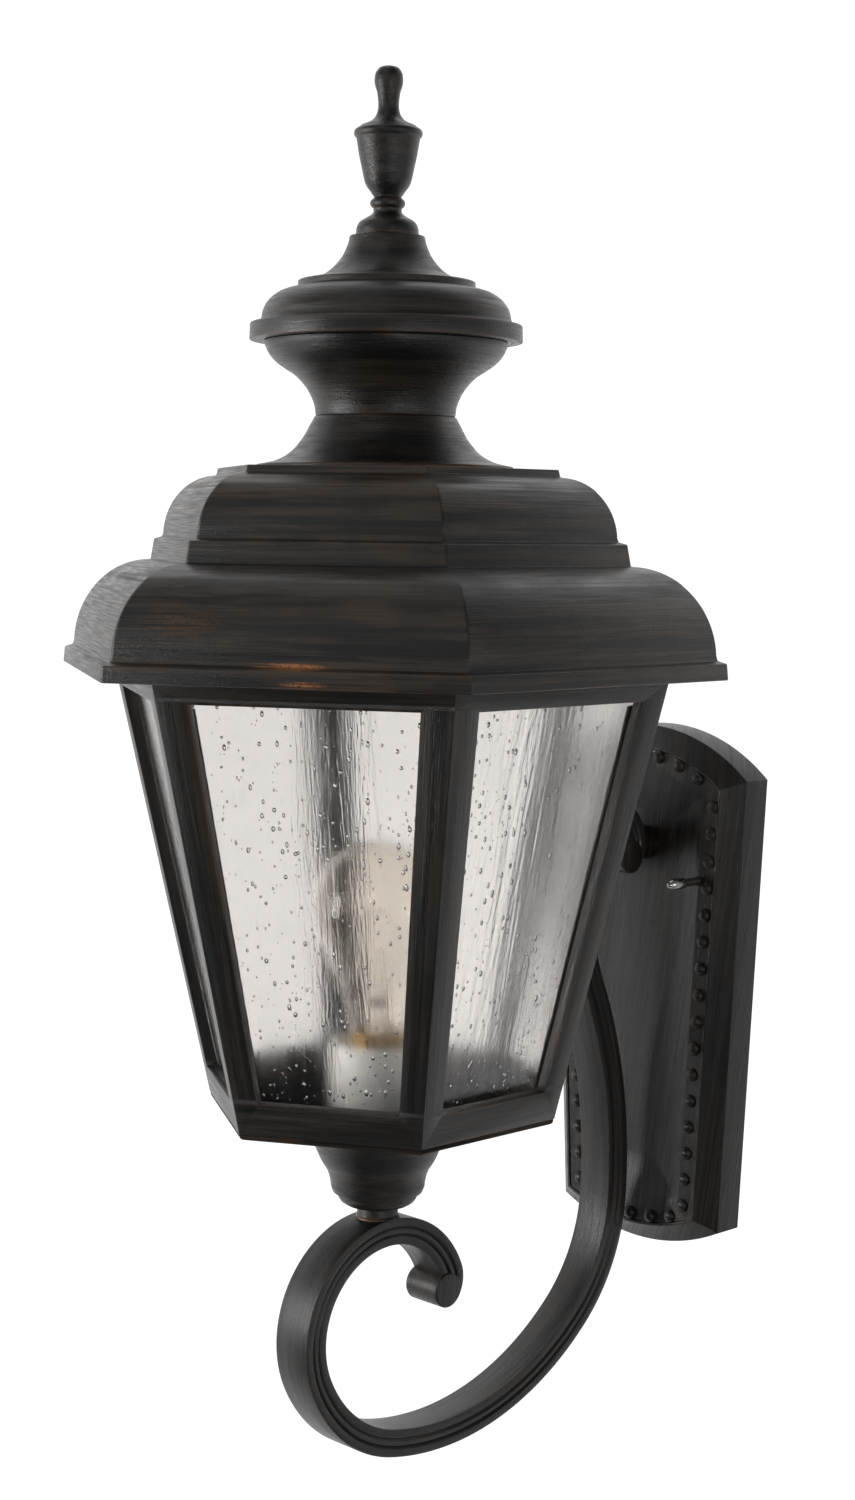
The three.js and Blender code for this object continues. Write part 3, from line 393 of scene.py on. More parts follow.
def along_faces(tree):
    """Distance out from the axis and along the hexagon's face, height, in metres, and the face's number."""
    reach, z, angle = round_the_axis(tree)
    step = math.pi / 3
    turned = tree.plus(angle, 4 * math.pi)
    inside = tree.math("SUBTRACT", tree.math("FLOORED_MODULO", turned, step), step / 2)
    out = tree.times(reach, tree.math("COSINE", inside))
    along = tree.times(reach, tree.math("SINE", inside))
    return out, along, z, tree.math("FLOOR", tree.math("DIVIDE", turned, step))


def brush_round(tree):
    """Brush strokes that run round a turned casting."""
    out, z, angle = round_the_axis(tree)
    here = tree.times(tree.math("SINE", angle), 0.08)
    there = tree.times(tree.math("COSINE", angle), 0.08)
    return tree.join(tree.plus(z, tree.times(out, 0.8)), here, there)


def brush_level(tree):
    """Brush strokes that run level along the faces of the roof."""
    out, along, z, face = along_faces(tree)
    return tree.join(tree.plus(z, tree.times(out, 0.8)), along, face)


def brush_frame(tree):
    """Strokes up the cage's posts and along its rails."""
    out, along, z, face = along_faces(tree)
    lean = tree.times(tree.math("DIVIDE", along, out), 0.09)
    up = tree.join(lean, z, tree.times(face, 0.3))
    level = tree.join(z, along, face)
    top = tree.span(z, (CAGE_TOP_Z - 7) * MM, (CAGE_TOP_Z - 5.5) * MM)
    foot = tree.span(z, (CAGE_FOOT_Z + 14) * MM, (CAGE_FOOT_Z + 16) * MM, 1.0, 0.0)
    rail = tree.math("MAXIMUM", top, foot)
    return tree.add("Mix", {0: rail, 4: up, 5: level}, data_type="VECTOR").outputs[1]


def brush_unwrapped(tree):
    """Strokes along the scroll, whose UV map holds its length and its girth in metres."""
    u, v, _ = tree.add("SeparateXYZ", {0: tree.add("UVMap", uv_map="run")}).outputs
    return tree.join(v, u, 0.0)


def brush_plate(tree):
    """Long, slightly slanted strokes down the wall plate."""
    x, y, z = tree.add("SeparateXYZ", {0: tree.here}).outputs
    return tree.join(tree.plus(tree.plus(x, y), tree.times(z, -0.16)), z, y)


def bronze(name, brush, rub=1.0, patches=(), gloss=0.5, roughness=0.29):
    """Dark bronze paint, brushed thin in strokes and rubbed to brown and copper on its edges."""
    tree = Tree(name)
    strokes = brush(tree)
    fine = tree.noise(strokes, (2300, 26, 26), 5)
    broad = tree.noise(strokes, (240, 7, 7), 4)
    cloud = tree.grain(19)
    cast = tree.grain(800)
    edge = tree.add("AmbientOcclusion", {"Distance": 1.4 * MM}, inside=True, only_local=True, samples=6)
    worn = tree.span(edge.outputs["AO"], 0.50, 0.90, 1.0, 0.0)
    break_up = tree.span(tree.plus(broad, tree.times(cloud, 0.8)), 0.80, 1.02)
    rubbed_edge = tree.times(worn, break_up, clamp=True)

    paint = tree.blend(tree.span(broad, 0.40, 0.62), BLACK_BRONZE, DARK_BRONZE)
    thin = tree.times(tree.span(broad, 0.42, 0.62), tree.span(cloud, 0.30, 0.58, 0.2, 1.0))
    thin = tree.times(thin, tree.span(fine, 0.34, 0.60, 0.5, 1.0))
    brown = tree.blend(tree.times(thin, 0.75 * rub), paint, THIN_BROWN)
    colour = tree.blend(tree.times(rubbed_edge, 0.75 * rub), brown, RUBBED_EDGE)
    bare = tree.times(rubbed_edge, 0.3)
    for centre, length, height, depth, tone in patches:
        off = tree.vector("SUBTRACT", tree.here, tuple(centre))
        off = tree.vector("MULTIPLY", off, (1 / length, 1 / length, 1 / height))
        away = tree.add("VectorMath", {0: off}, operation="LENGTH").outputs["Value"]
        near = tree.span(away, 0.25, 1.0, 1.0, 0.0)
        patch = tree.times(near, tree.span(fine, 0.42, 0.52), clamp=True)
        patch = tree.times(patch, tree.span(cast, 0.36, 0.56, 0.25 * depth, depth))
        colour = tree.blend(patch, colour, tone)
        bare = tree.math("MAXIMUM", bare, tree.times(patch, 0.5))

    relief = tree.plus(tree.times(fine, 0.8), tree.times(cast, 0.35))
    relief = tree.plus(relief, tree.times(broad, 0.5))
    return tree.finish(tree.shader({
        "Base Color": colour,
        "Metallic": bare,
        "Roughness": tree.span(fine, 0.3, 0.7, roughness, roughness + 0.21),
        "Specular IOR Level": gloss,
        "Normal": tree.bump(relief, 0.3 * MM, 0.75),
    }))


def plated(name, colour, roughness, grain=500.0):
    """Bright or dull plated metal with a fine grain and a little staining."""
    tree = Tree(name)
    fine = tree.grain(grain)
    stain = tree.grain(60)
    dark = tuple(c * 0.55 for c in colour) + (1,)
    return tree.finish(tree.shader({
        "Base Color": tree.blend(tree.span(stain, 0.35, 0.75), (*colour, 1), dark),
        "Metallic": 1.0,
        "Roughness": tree.span(fine, 0.3, 0.7, roughness, roughness + 0.16),
        "Normal": tree.bump(fine, 0.03 * MM, 0.5),
    }))


def black_steel():
    tree = Tree("black_steel")
    fine = tree.grain(700)
    dark, light = (0.016, 0.015, 0.015, 1), (0.035, 0.031, 0.028, 1)
    return tree.finish(tree.shader({
        "Base Color": tree.blend(tree.span(fine, 0.4, 0.7), dark, light),
        "Roughness": tree.span(fine, 0.3, 0.7, 0.36, 0.52),
        "Normal": tree.bump(fine, 0.04 * MM, 0.5),
    }))


def porcelain():
    tree = Tree("porcelain")
    slow = tree.grain(90, 2)
    specks = tree.span(tree.grain(1500, 2), 0.66, 0.74)
    return tree.finish(tree.shader({
        "Base Color": tree.blend(specks, (0.96, 0.96, 0.94, 1), (0.66, 0.64, 0.60, 1)),
        "Roughness": tree.span(slow, 0.3, 0.7, 0.12, 0.28),
        "Coat Weight": 0.6,
        "Coat Roughness": 0.06,
        "Subsurface Weight": 0.08,
        "Subsurface Scale": 2 * MM,
        "Normal": tree.bump(slow, 0.2 * MM, 0.4),
    }))


def see_through(tree, colour, roughness, index, normal, clear):
    """Glass that also lets lamps through, so that what it holds is lit."""
    glass = tree.shader({
        "Base Color": colour,
        "Roughness": roughness,
        "IOR": index,
        "Transmission Weight": 1.0,
        "Normal": normal,
    })
    shadow = tree.add("LightPath").outputs["Is Shadow Ray"]
    open_air = tree.add("BsdfTransparent", {"Color": clear})
    return tree.finish(tree.add("MixShader", {0: shadow, 1: glass, 2: open_air}))


def seeded_glass():
    """Drawn glass: vertical ripples and a faint haze."""
    tree = Tree("seeded_glass")
    _, along, z, face = along_faces(tree)
    drawn = tree.join(along, z, face)
    ripple = tree.noise(drawn, (150, 15, 3), 3, 0.4)
    fine = tree.noise(drawn, (620, 110, 3), 2, 0.3)
    relief = tree.bump(tree.plus(ripple, tree.times(fine, 0.2)), 0.42 * MM, 0.5)
    haze = tree.span(ripple, 0.3, 0.7, 0.12, 0.21)
    return see_through(tree, (0.885, 0.866, 0.852, 1), haze, 1.5, relief, (0.72, 0.72, 0.71, 1))


def clear_glass(name, colour, roughness=0.0, index=1.48):
    tree = Tree(name)
    relief = tree.bump(tree.grain(70, 2), 0.4 * MM, 0.25)
    return see_through(tree, colour, roughness, index, relief, (0.95, 0.94, 0.92, 1))


def make_materials():
    worn_eave = [  # centre, half length, half height, depth and tone
        (AXIS + Vector((67, -113, 8.4)) * MM, 20 * MM, 1.9 * MM, 1.0, COPPER_PATCH),
        (AXIS + Vector((73, -110, 1.6)) * MM, 12 * MM, 1.7 * MM, 0.9, COPPER_PATCH),
        (AXIS + Vector((27, -137, 25)) * MM, 26 * MM, 8.5 * MM, 0.8, BROWN_PATCH),
    ]
    return {
        "round": bronze("bronze_turned", brush_round, 0.7),
        "roof": bronze("bronze_roof", brush_level, 1.3, worn_eave),
        "floor": bronze("bronze_floor", brush_level, 0.8, (), 0.12, 0.6),
        "frame": bronze("bronze_frame", brush_frame, 0.6),
        "arm": bronze("bronze_arm", brush_unwrapped, 0.5),
        "plate": bronze("bronze_plate", brush_plate, 0.45, (), 0.4, 0.26),
        "black": black_steel(),
        "zinc": plated("zinc_steel", (0.52, 0.53, 0.54), 0.28),
        "dull": plated("dull_zinc", (0.07, 0.065, 0.06), 0.38),
        "nickel": plated("nickel", (0.90, 0.90, 0.88), 0.16, 900),
        "green": plated("green_zinc", (0.06, 0.28, 0.10), 0.25),
        "brass": plated("brass", (0.42, 0.27, 0.10), 0.38),
        "tungsten": plated("tungsten", (0.25, 0.24, 0.23), 0.3),
        "porcelain": porcelain(),
        "pane": seeded_glass(),
        "seed": clear_glass("seed_glass", (1.0, 1.0, 1.0, 1), 0.0, 1.4),
        "bulb": clear_glass("bulb_glass", (0.975, 0.935, 0.885, 1), 0.03),
        "stem": clear_glass("stem_glass", (0.985, 0.98, 0.97, 1), 0.02, 1.12),
    }


# -------- turned castings
def finial_outline():
    waist = curve([(13.6, 188.2), (13.3, 191), (11.8, 193.6), (8.2, 195.7), (6.3, 197.4), (6.1, 199)], 4)
    ring = arc(6.1, 201.3, 1.5, 1.9, -70, 70, 8)
    vase = curve([
        (5.8, 203.8), (7.5, 206.2), (9.4, 208.9), (10.4, 211.8),
        (11.3, 216), (12.5, 221.5), (13.3, 226.2), (13.7, 228.6),
    ], 3)
    lip = arc(13.4, 230.9, 1.4, 1.9, -75, 80, 8)
    shoulder = curve([(11.6, 234.3), (9.2, 235.2), (6.8, 236.7), (5.2, 238.9), (4.5, 242), (4.6, 245.2)], 4)
    knob = curve([(5, 248.2), (5.9, 251), (6.2, 253.4), (5.7, 256.4), (4.1, 258.5), (2, 259.25)], 4)
    bore = [(0, ROD_TOP_Z + 1.5), (3.3, ROD_TOP_Z + 0.5), (3.3, FINIAL_BASE_Z), (13.5, FINIAL_BASE_Z)]
    outline = bore + waist + ring + vase + lip + shoulder + knob + [(0, 259.45)]
    return rounded(outline, 0.3, steps=2, least=35)


def upper_cap_outline():
    top_z = FINIAL_BASE_Z - FIT
    slope = curve([(16.5, 185.9), (17.2, 183.4), (19.6, 178.3), (24, 173.2), (29, 170), (36, 168.5)], 5)
    dome = arc(38.4, 151.6, 15.6, 13.2, 84, 3, 16)
    return rounded([
        (ROD_BORE_R, top_z - 3.4), (ROD_BORE_R, top_z), (16.3, top_z),
        *slope, (38.4, 168), (38.4, 165.4), *dome,
        (54.6, 150.4), (58.9, 149.6), (59.2, CAP_RIM_Z), (47, CAP_RIM_Z),
        (47, 152), (38, 161), (24, 167), (16, 178), (13, top_z - 3.4),
    ], 0.7, closed=True)


def vent_bowl_outline():
    foot_z = COLLAR_TOP_Z + FIT
    side = curve([
        (30.5, 111.6), (30.8, 114.2), (31.7, 117), (34.2, 121.9), (38.7, 127),
        (42.8, 129.8), (46.6, 132.4), (49.4, 135), (51.2, 137.6), (52.4, 140.2),
    ], 4)
    return rounded([
        (ROD_BORE_R, foot_z), (30.2, foot_z), *side, (52.8, CAP_RIM_Z - FIT), (49.4, CAP_RIM_Z - FIT),
        (46, 136.4), (34, 127.4), (28, 117),
        (26.6, foot_z + CASTING_WALL), (ROD_BORE_R, foot_z + CASTING_WALL),
    ], 0.5, closed=True)


def collar_outline():
    foot_z = ROOF_TOP_Z + FIT
    side = curve([
        (31.3, 109), (32.8, 106.4), (35.6, 101.2), (39.7, 96), (43.6, 92.9), (48, 90.8), (53, 89.6),
    ], 5)
    return rounded([
        (ROD_BORE_R, COLLAR_TOP_Z - CASTING_WALL), (ROD_BORE_R, COLLAR_TOP_Z), (30.9, COLLAR_TOP_Z),
        *side, (55.6, 89.2), (56, foot_z), (51, foot_z),
        (39, 91), (32, 100), (29, COLLAR_TOP_Z - CASTING_WALL),
    ], 0.5, closed=True)


def socket_cup_outline():
    bell = curve([
        (40.2, CUP_TOP_Z - 2.2), (36.6, -200.4), (33, -203.4), (29.8, -208.6), (27.6, -213.6),
        (25.4, -218.4), (22.9, -222.4), (21.5, -226.6), (21, -230.2),
    ], 4)
    return rounded([
        (NIPPLE_HOLE_R, CUP_WEB_TOP_Z), (13.6, CUP_WEB_TOP_Z), (15, -233.4), (17.8, -230.6),
        (18.6, -226.4), (20.6, -221), (23.6, -215.6), (26.8, -208), (31.4, -200.4),
        (36, CUP_TOP_Z), (41, CUP_TOP_Z), *bell,
        (20.1, -232.6), (17.7, -233.6), (17.6, -235.2), (16.6, -236.8), (14.4, -238.2), (12.4, -238.9),
        (NIPPLE_HOLE_R, NECK_TOP_Z + FIT),
    ], 0.5, closed=True)


def turned_castings(look):
    settle(solid("finial_casting", lathe(finial_outline(), 64)), look["round"], "finial")
    for node, outline in (
        ("upper_cap", upper_cap_outline()),
        ("vent_bowl", vent_bowl_outline()),
        ("collar", collar_outline()),
        ("socket_cup", socket_cup_outline()),
    ):
        settle(solid(node + "_casting", lathe(outline, 128, True)), look["round"], node)


# -------- roof
def roof_casting(look):
    """Two-step hexagonal roof with its hub and the three ribs that stand on the cage."""
    shell = rounded([
        (EAVE_R, 0), (151.7, 6.9), (147.8, 8.1),
        *arc(109.8, 8.1, 37.4, 39, 3, 88.5, 22),
        (109.8, 47.2), (108.1, 56.3), (104.4, 57.3),
        *arc(78, 57.3, 25.8, 27.2, 3, 88, 18),
        (78.4, 84.9), (77.7, ROOF_TOP_Z), (8, ROOF_TOP_Z), (8, ROOF_TOP_Z - CASTING_WALL),
        (74, ROOF_TOP_Z - CASTING_WALL), *arc(77, 56, 22.6, 25, 80, 4, 9), (103.8, 53), (105, 43.6),
        *arc(108.4, 8, 33.8, 34.4, 84, 4, 10), (145.6, 4), (146, 0),
    ], 0.7, closed=True)
    roof = solid("roof_casting", lathe(shell, 6, True))
    bevelled(roof, 0.9, 40, 3)
    hub_foot = ROOF_TOP_Z - HUB_HEIGHT
    hub = [(ROD_BORE_R, hub_foot), (HUB_R, hub_foot), (HUB_R, ROOF_TOP_Z), (ROD_BORE_R, ROOF_TOP_Z)]
    extras = [solid("hub", lathe(rounded(hub, 0.4, True), 48, True))]
    seat_z = CAGE_TOP_Z + FIT
    profile = [(96, seat_z), (104, seat_z), (104, 1), (126, 1), (118, 24), (106, 40), (96, 42)]
    for deg in SEAT_DIRECTIONS:
        turn = Matrix.Rotation(math.radians(deg), 3, "Z")
        sides = [[turn @ Vector((x, y, z)) for y, z in profile] for x in (-SEAT_HALF, SEAT_HALF)]
        extras.append(solid("rib", skin(sides)))
    combine(roof, extras, "UNION")
    settle(roof, look["roof"], "roof")


# -------- cage
def face_matrix(deg):
    """From a face's own axes (across, up the slope, outwards) to the lantern's."""
    flat = math.cos(math.pi / 6)
    top = Vector((0, -CAGE_TOP_R * flat, CAGE_TOP_Z))
    foot = Vector((0, -CAGE_FOOT_R * flat, CAGE_FOOT_Z))
    up = (top - foot).normalized()
    across = Vector((1, 0, 0))
    basis = Matrix((across, up, across.cross(up))).transposed().to_4x4()
    basis.translation = top
    return Matrix.Rotation(math.radians(deg), 4, "Z") @ basis


def pane_shape(seed, columns=96, rows=64):
    """A sheet with drawn waves on both sides, as rows of points, with its four edges closed."""
    top, foot = OPENING_TOP_V + PANE_TOP_LAP, OPENING_FOOT_V - PANE_LAP
    verts, faces = [], []
    for side, level in ((0, -PANE_DEPTH - 0.06), (1, -PANE_DEPTH - PANE_THICK + 0.06)):
        for j in range(rows + 1):
            v = foot + (top - foot) * j / rows
            half = (OPENING_HALF_FOOT + (OPENING_HALF_TOP - OPENING_HALF_FOOT) * j / rows) + PANE_LAP
            for i in range(columns + 1):
                x = half * (2 * i / columns - 1)
                wave = noise.noise(Vector((x / 5.5, v / 34, seed * 7 + side * 3)))
                swell = noise.noise(Vector((x / 17, v / 60, seed * 5 + side)))
                verts.append((x, v, level + 0.035 * wave + 0.02 * swell))
    width = columns + 1
    layer = width * (rows + 1)
    for j in range(rows):
        for i in range(columns):
            a = j * width + i
            faces.append([a, a + 1, a + 1 + width, a + width])
            faces.append([layer + a + width, layer + a + 1 + width, layer + a + 1, layer + a])
    rim = list(range(width)) + [j * width + columns for j in range(1, rows + 1)]
    rim += [rows * width + i for i in range(columns - 1, -1, -1)]
    rim += [j * width for j in range(rows - 1, 0, -1)]
    for a, b in zip(rim, rim[1:] + rim[:1]):
        faces.append([b, a, layer + a, layer + b])
    return verts, faces


def add_seeds(bm, chance):
    """Air bubbles inside the sheet, drawn a little long, as surfaces that face inwards."""
    for _ in range(SEEDS_PER_PANE):
        j = chance.random()
        half = OPENING_HALF_FOOT + (OPENING_HALF_TOP - OPENING_HALF_FOOT) * j - 1
        v = OPENING_FOOT_V + (OPENING_TOP_V - OPENING_FOOT_V) * j
        radius = 0.28 + 0.66 * chance.random() ** 3
        stretch = 1 + 0.9 * chance.random()
        depth = -PANE_DEPTH - PANE_THICK * (0.38 + 0.24 * chance.random())
        place = Matrix.Translation((half * (2 * chance.random() - 1), v, depth))
        size = Matrix.Diagonal((radius, radius * stretch, radius * 0.8, 1))
        fineness = 2 if radius > 0.35 else 1
        made = bmesh.ops.create_icosphere(bm, subdivisions=fineness, radius=1, matrix=place @ size)
        bubble = {f for vert in made["verts"] for f in vert.link_faces}
        bmesh.ops.reverse_faces(bm, faces=list(bubble))
        for f in bubble:
            f.material_index = 1


def panes(look):
    for k, deg in enumerate(FACES):
        pane = solid(f"seeded_pane_{k + 1}", pane_shape(k), WALL, outward=False)
        bm = bmesh.new()
        bm.from_mesh(pane.data)
        bmesh.ops.scale(bm, vec=(1 / MM,) * 3, verts=bm.verts)
        add_seeds(bm, random.Random(100 + k))
        for f in bm.faces:
            f.smooth = True
        bmesh.ops.transform(bm, matrix=face_matrix(deg), verts=bm.verts)
        bmesh.ops.scale(bm, vec=(MM,) * 3, verts=bm.verts)
        bmesh.ops.translate(bm, vec=AXIS, verts=bm.verts)
        bm.to_mesh(pane.data)
        bm.free()
        pane.data.materials.append(look["pane"])
        pane.data.materials.append(look["seed"])
        settle(pane, None, f"pane_{k + 1}", sharp=50)


def cage(look):
    from_cad("cage_frame_casting", "cage_frame", 0.7, look["frame"])
    from_cad("cage_floor_plate", "cage_floor", 0.4, look["floor"])
    for k in range(1, 7):
        from_cad(f"bent_strip_{k}", f"corner_strip_{k}", 0.2, look["black"])
    from_cad("cross_bar_strip", "cross_bar", 0.3, look["black"])


# -------- screws, nuts and rods
def threaded(radius, pitch, low, high, sides=24, rows_per_turn=4):
    """A rod with a real helical thread between two heights and plain reduced ends."""
    depth = pitch * 0.5
    rows = math.ceil((high - low) / pitch * rows_per_turn)
    rings = []
    for j in range(rows + 1):
        z = low + (high - low) * j / rows
        ring = []
        for k in range(sides):
            share = (z / pitch - k / sides) % 1
            cut = depth * abs(2 * share - 1) if 1 < j < rows - 1 else depth
            angle = 2 * math.pi * k / sides
            ring.append(((radius - cut) * math.cos(angle), (radius - cut) * math.sin(angle), z))
        rings.append(ring)
    return skin(rings)


def pan_screw(name, head_r, head_height, shank_r, length):
    """A pan-head screw with a cross recess: head up from Z = 0, shank down."""
    head = solid(name, lathe(rounded([
        (0, -length), (shank_r * 0.6, -length), (shank_r, -length + shank_r), (shank_r, 0), (head_r, 0),
        (head_r, head_height * 0.35), *arc(0, head_height * 0.35, head_r, head_height * 0.65, 20, 80, 5),
        (0, head_height),
    ], 0.2), 32), WALL)
    long, short = (-head_r * 0.55, head_r * 0.55), (-0.35, 0.35)
    deep = (head_height * 0.35, head_height + 1)
    arms = [solid("arm", box_shape(*spans, deep), WALL) for spans in ((long, short), (short, long))]
    return combine(head, arms, "DIFFERENCE")


def set_down(made, matrix):
    """Moves a piece's own mesh, so that its object stays at the frame's origin."""
    made.data.transform(matrix)
    return made


def at(point_mm, origin=AXIS, turn=None):
    where = Matrix.Translation(origin + Vector(point_mm) * MM)
    return where @ turn.to_4x4() if turn else where


def fasteners(look):
    down = Matrix.Rotation(math.pi, 3, "X")
    out_of_wall = Matrix.Rotation(math.pi / 2, 3, "X")
    for k, deg in enumerate(SEAT_DIRECTIONS):
        angle = math.radians(deg)
        place = (FLOOR_SCREW_RING * math.sin(angle), -FLOOR_SCREW_RING * math.cos(angle), CUP_TOP_Z)
        screw = pan_screw(f"floor_pan_screw_{k + 1}", 3.2, 2, 1.7, 8.6)
        settle(set_down(screw, at(place, AXIS, down)), look["black"], f"floor_screw_{k + 1}")
    for k, y in enumerate((-BAR_SCREW_Y, BAR_SCREW_Y)):
        screw = pan_screw(f"bar_pan_screw_{k + 1}", 4, 2.4, 2, 8.5)
        settle(set_down(screw, at((0, y, -0.1))), look["zinc"], f"bar_screw_{k + 1}")
    rod = solid("threaded_tie_rod", threaded(ROD_R, 1.25, ROD_FOOT_Z, ROD_TOP_Z))
    settle(rod, look["zinc"], "tie_rod")
    for node in ("rod_nut_lower", "rod_nut_upper", "stem_nut", "nipple"):
        from_cad(node + "_piece", node, 0.3 if "nut" in node else 0, look["zinc"])
    for side, x in (("left", -STUD_X), ("right", STUD_X)):
        thread = threaded(STUD_R, 0.8, 0.1, STUD_TIP_DEPTH, 20)
        stud = solid(f"threaded_stud_{side}", along_minus_y(thread, x), WALL)
        settle(stud, look["dull"], f"stud_{side}")
        from_cad(f"hex_nut_{side}", f"stud_nut_{side}", 0.25, look["zinc"])
        ball_nut(look, side, x)
    from_cad("strap_bar", "mounting_strap", 0.35, look["zinc"])
    ground = set_down(pan_screw("ground_pan_screw", 4.2, 2.9, 2, 2), at((12, -2.1, 0), WALL, out_of_wall))
    settle(ground, look["green"], "ground_screw")
    from_cad("hex_bolt", "arm_bolt", 0.25, look["zinc"])
    from_cad("flat_washer", "arm_washer", 0.2, look["zinc"])


def ball_nut(look, side, x):
    """Long ball-ended nut, hollow towards the wall."""
    outline = rounded([
        (0, 8.6), (STUD_R + 0.2, 8.6), (STUD_R + 0.2, 0), (2.5, 0), (2.75, 1.6),
        *arc(0, 4.6, 2.9, BALL_NUT_LENGTH - 4.6, -10, 90, 14),
    ], 0.2, least=50)
    shape = along_minus_y(lathe(outline, 40), x, BALL_NUT_DEPTH)
    settle(solid(f"ball_ended_nut_{side}", shape, WALL), look["nickel"], f"ball_nut_{side}")


# -------- socket and bulb
def ridged(crest, depth, low, high, turns, steps=8):
    """A rolled thread's profile: round crests and roots."""
    count = turns * steps
    return [
        (crest - depth * (0.5 + 0.5 * math.cos(2 * math.pi * k / steps)), low + (high - low) * k / count)
        for k in range(count + 1)
    ]


def socket_and_bulb(look):
    foot_z = CAGE_FOOT_Z + FIT
    body = rounded([
        (SOCKET_BORE_R, foot_z), (SOCKET_R - 1, foot_z), (SOCKET_R, foot_z + 1),
        (SOCKET_R, SOCKET_TOP_Z - 1.2), (SOCKET_R - 1.2, SOCKET_TOP_Z),
        (17, SOCKET_TOP_Z), (16, SOCKET_TOP_Z - 1.4),
        (16, SOCKET_FLOOR_Z), (SOCKET_BORE_R, SOCKET_FLOOR_Z),
    ], 0.8, closed=True, steps=4)
    settle(solid("porcelain_socket", lathe(body, 96, True)), look["porcelain"], "socket_body")
    shell_foot = SOCKET_FLOOR_Z + 2 * FIT
    wall = ridged(15.7, 0.6, shell_foot, SOCKET_TOP_Z - 3, 3)
    inner = [(r - 0.5, z) for r, z in wall[1:]][::-1]
    shell = [(9, shell_foot), *wall, *inner, (14.4, shell_foot + 0.6), (9, shell_foot + 0.6)]
    settle(solid("brass_shell", lathe(shell, 64, True)), look["brass"], "socket_shell")
    from_cad("contact_strip", "socket_contact", 0.1, look["brass"])
    cap = [
        (0, BULB_TIP_Z), (3.4, BULB_TIP_Z + 0.4), (4.6, BULB_TIP_Z + 1.6), (10.6, BULB_TIP_Z + 4.4),
        *ridged(BULB_CAP_R, 0.7, BULB_TIP_Z + 5, BULB_NECK_Z - 5, 3), (13, BULB_NECK_Z - 4),
        (13, BULB_NECK_Z - FIT), (0, BULB_NECK_Z - FIT),
    ]
    settle(solid("brass_bulb_cap", lathe(rounded(cap, 0.3), 64)), look["brass"], "bulb_cap")
    settle(solid("bulb_envelope", bulb_envelope()), look["bulb"], "bulb_glass", sharp=60)
    side = curve([
        (5.6, BULB_NECK_Z + 1), (4.4, -155), (3.6, -150), (3.2, -145), (2.6, -136), (1.6, -125.5),
    ], 5)
    stem = [(0, BULB_NECK_Z + 0.2), (5.6, BULB_NECK_Z + 0.2), *side, (0, -123.4)]
    glass_stem = solid("glass_stem", lathe(rounded(stem, 0.3), 40))
    add_press(glass_stem, look)
    settle(glass_stem, None, "bulb_stem", sharp=60)
    settle(solid("coiled_filament", filament_wire()), look["tungsten"], "bulb_filament", sharp=60)


def add_press(stem, look):
    """The dark press inside the stem, where its wires are sealed."""
    bm = bmesh.new()
    bm.from_mesh(stem.data)
    press = at((0, 0, -147)) @ Matrix.Diagonal((2.5 * MM, 2.5 * MM, 2.2 * MM, 1))
    made = bmesh.ops.create_icosphere(bm, subdivisions=3, radius=1, matrix=press)
    for f in {f for vert in made["verts"] for f in vert.link_faces}:
        f.material_index = 1
    bm.to_mesh(stem.data)
    bm.free()
    stem.data.materials.append(look["stem"])
    stem.data.materials.append(look["tungsten"])


def bulb_envelope():
    """Thin pear-shaped skin, open at the neck where the cap closes it."""
    def side(r, steps):
        shift = r - BULB_R
        neck = curve([(12.6, BULB_NECK_Z), (13.1, -154), (14.6, -146.6), (17.6, -138.2), (21.6, -129.8)], 5)
        ball = arc(0, BULB_CENTRE_Z, r, r, -36, 90, steps)
        return [(x + shift, z) for x, z in neck] + ball

    return lathe(side(BULB_R - BULB_WALL, 26)[::-1] + side(BULB_R, 26), 96)


def filament_wire():
    """A fine wire over two support posts."""
    post = [(-5.5, -148), (-10.5, -128), (-10.8, -113)]
    arch = [(-7.6, -108), (0, -106.4), (7.6, -108)]
    route = [Vector((x, 0, z)) for x, z in curve(post + arch + [(-x, z) for x, z in post[::-1]], 10)]
    across = Vector((0, 1, 0))
    angles = [2 * math.pi * s / 8 for s in range(8)]
    rings = []
    for k, p in enumerate(route):
        ahead = (route[min(k + 1, len(route) - 1)] - route[max(k - 1, 0)]).normalized()
        normal = across.cross(ahead)
        rings.append([tuple(p + (across * math.cos(a) + normal * math.sin(a)) * 0.22) for a in angles])
    return skin(rings)


# -------- scroll arm
ARM_SIDE = [  # half of the section as half width and offset outwards: two grooves leave three reeds
    (ARM_HALF_WIDTH, ARM_HALF_THICK), (ARM_HALF_WIDTH, 2.5), (ARM_HALF_WIDTH - 1.3, 1.75),
    (ARM_HALF_WIDTH - 0.5, 1.0), (ARM_HALF_WIDTH - 0.5, -0.9), (ARM_HALF_WIDTH - 1.7, -1.7),
    (ARM_HALF_WIDTH - 0.9, -2.5), (ARM_HALF_WIDTH - 0.9, -ARM_HALF_THICK),
]


def arm_stations(longest_chord=3.2):
    """Position, heading and distance run at each station of the centreline."""
    y, z, heading = ARM_START[0], ARM_START[1], math.radians(ARM_START[2])
    run = 0
    stations = [(y, z, heading, run)]
    for radius, turn in ARM_ARCS:
        length = radius * math.radians(abs(turn))
        steps = max(math.ceil(length / longest_chord), math.ceil(abs(turn) / 7))
        step = math.radians(turn) / steps
        chord = 2 * radius * math.sin(abs(step) / 2)
        for _ in range(steps):
            y += chord * math.cos(heading + step / 2)
            z += chord * math.sin(heading + step / 2)
            heading += step
            run += length / steps
            stations.append((y, z, heading, run))
    return stations


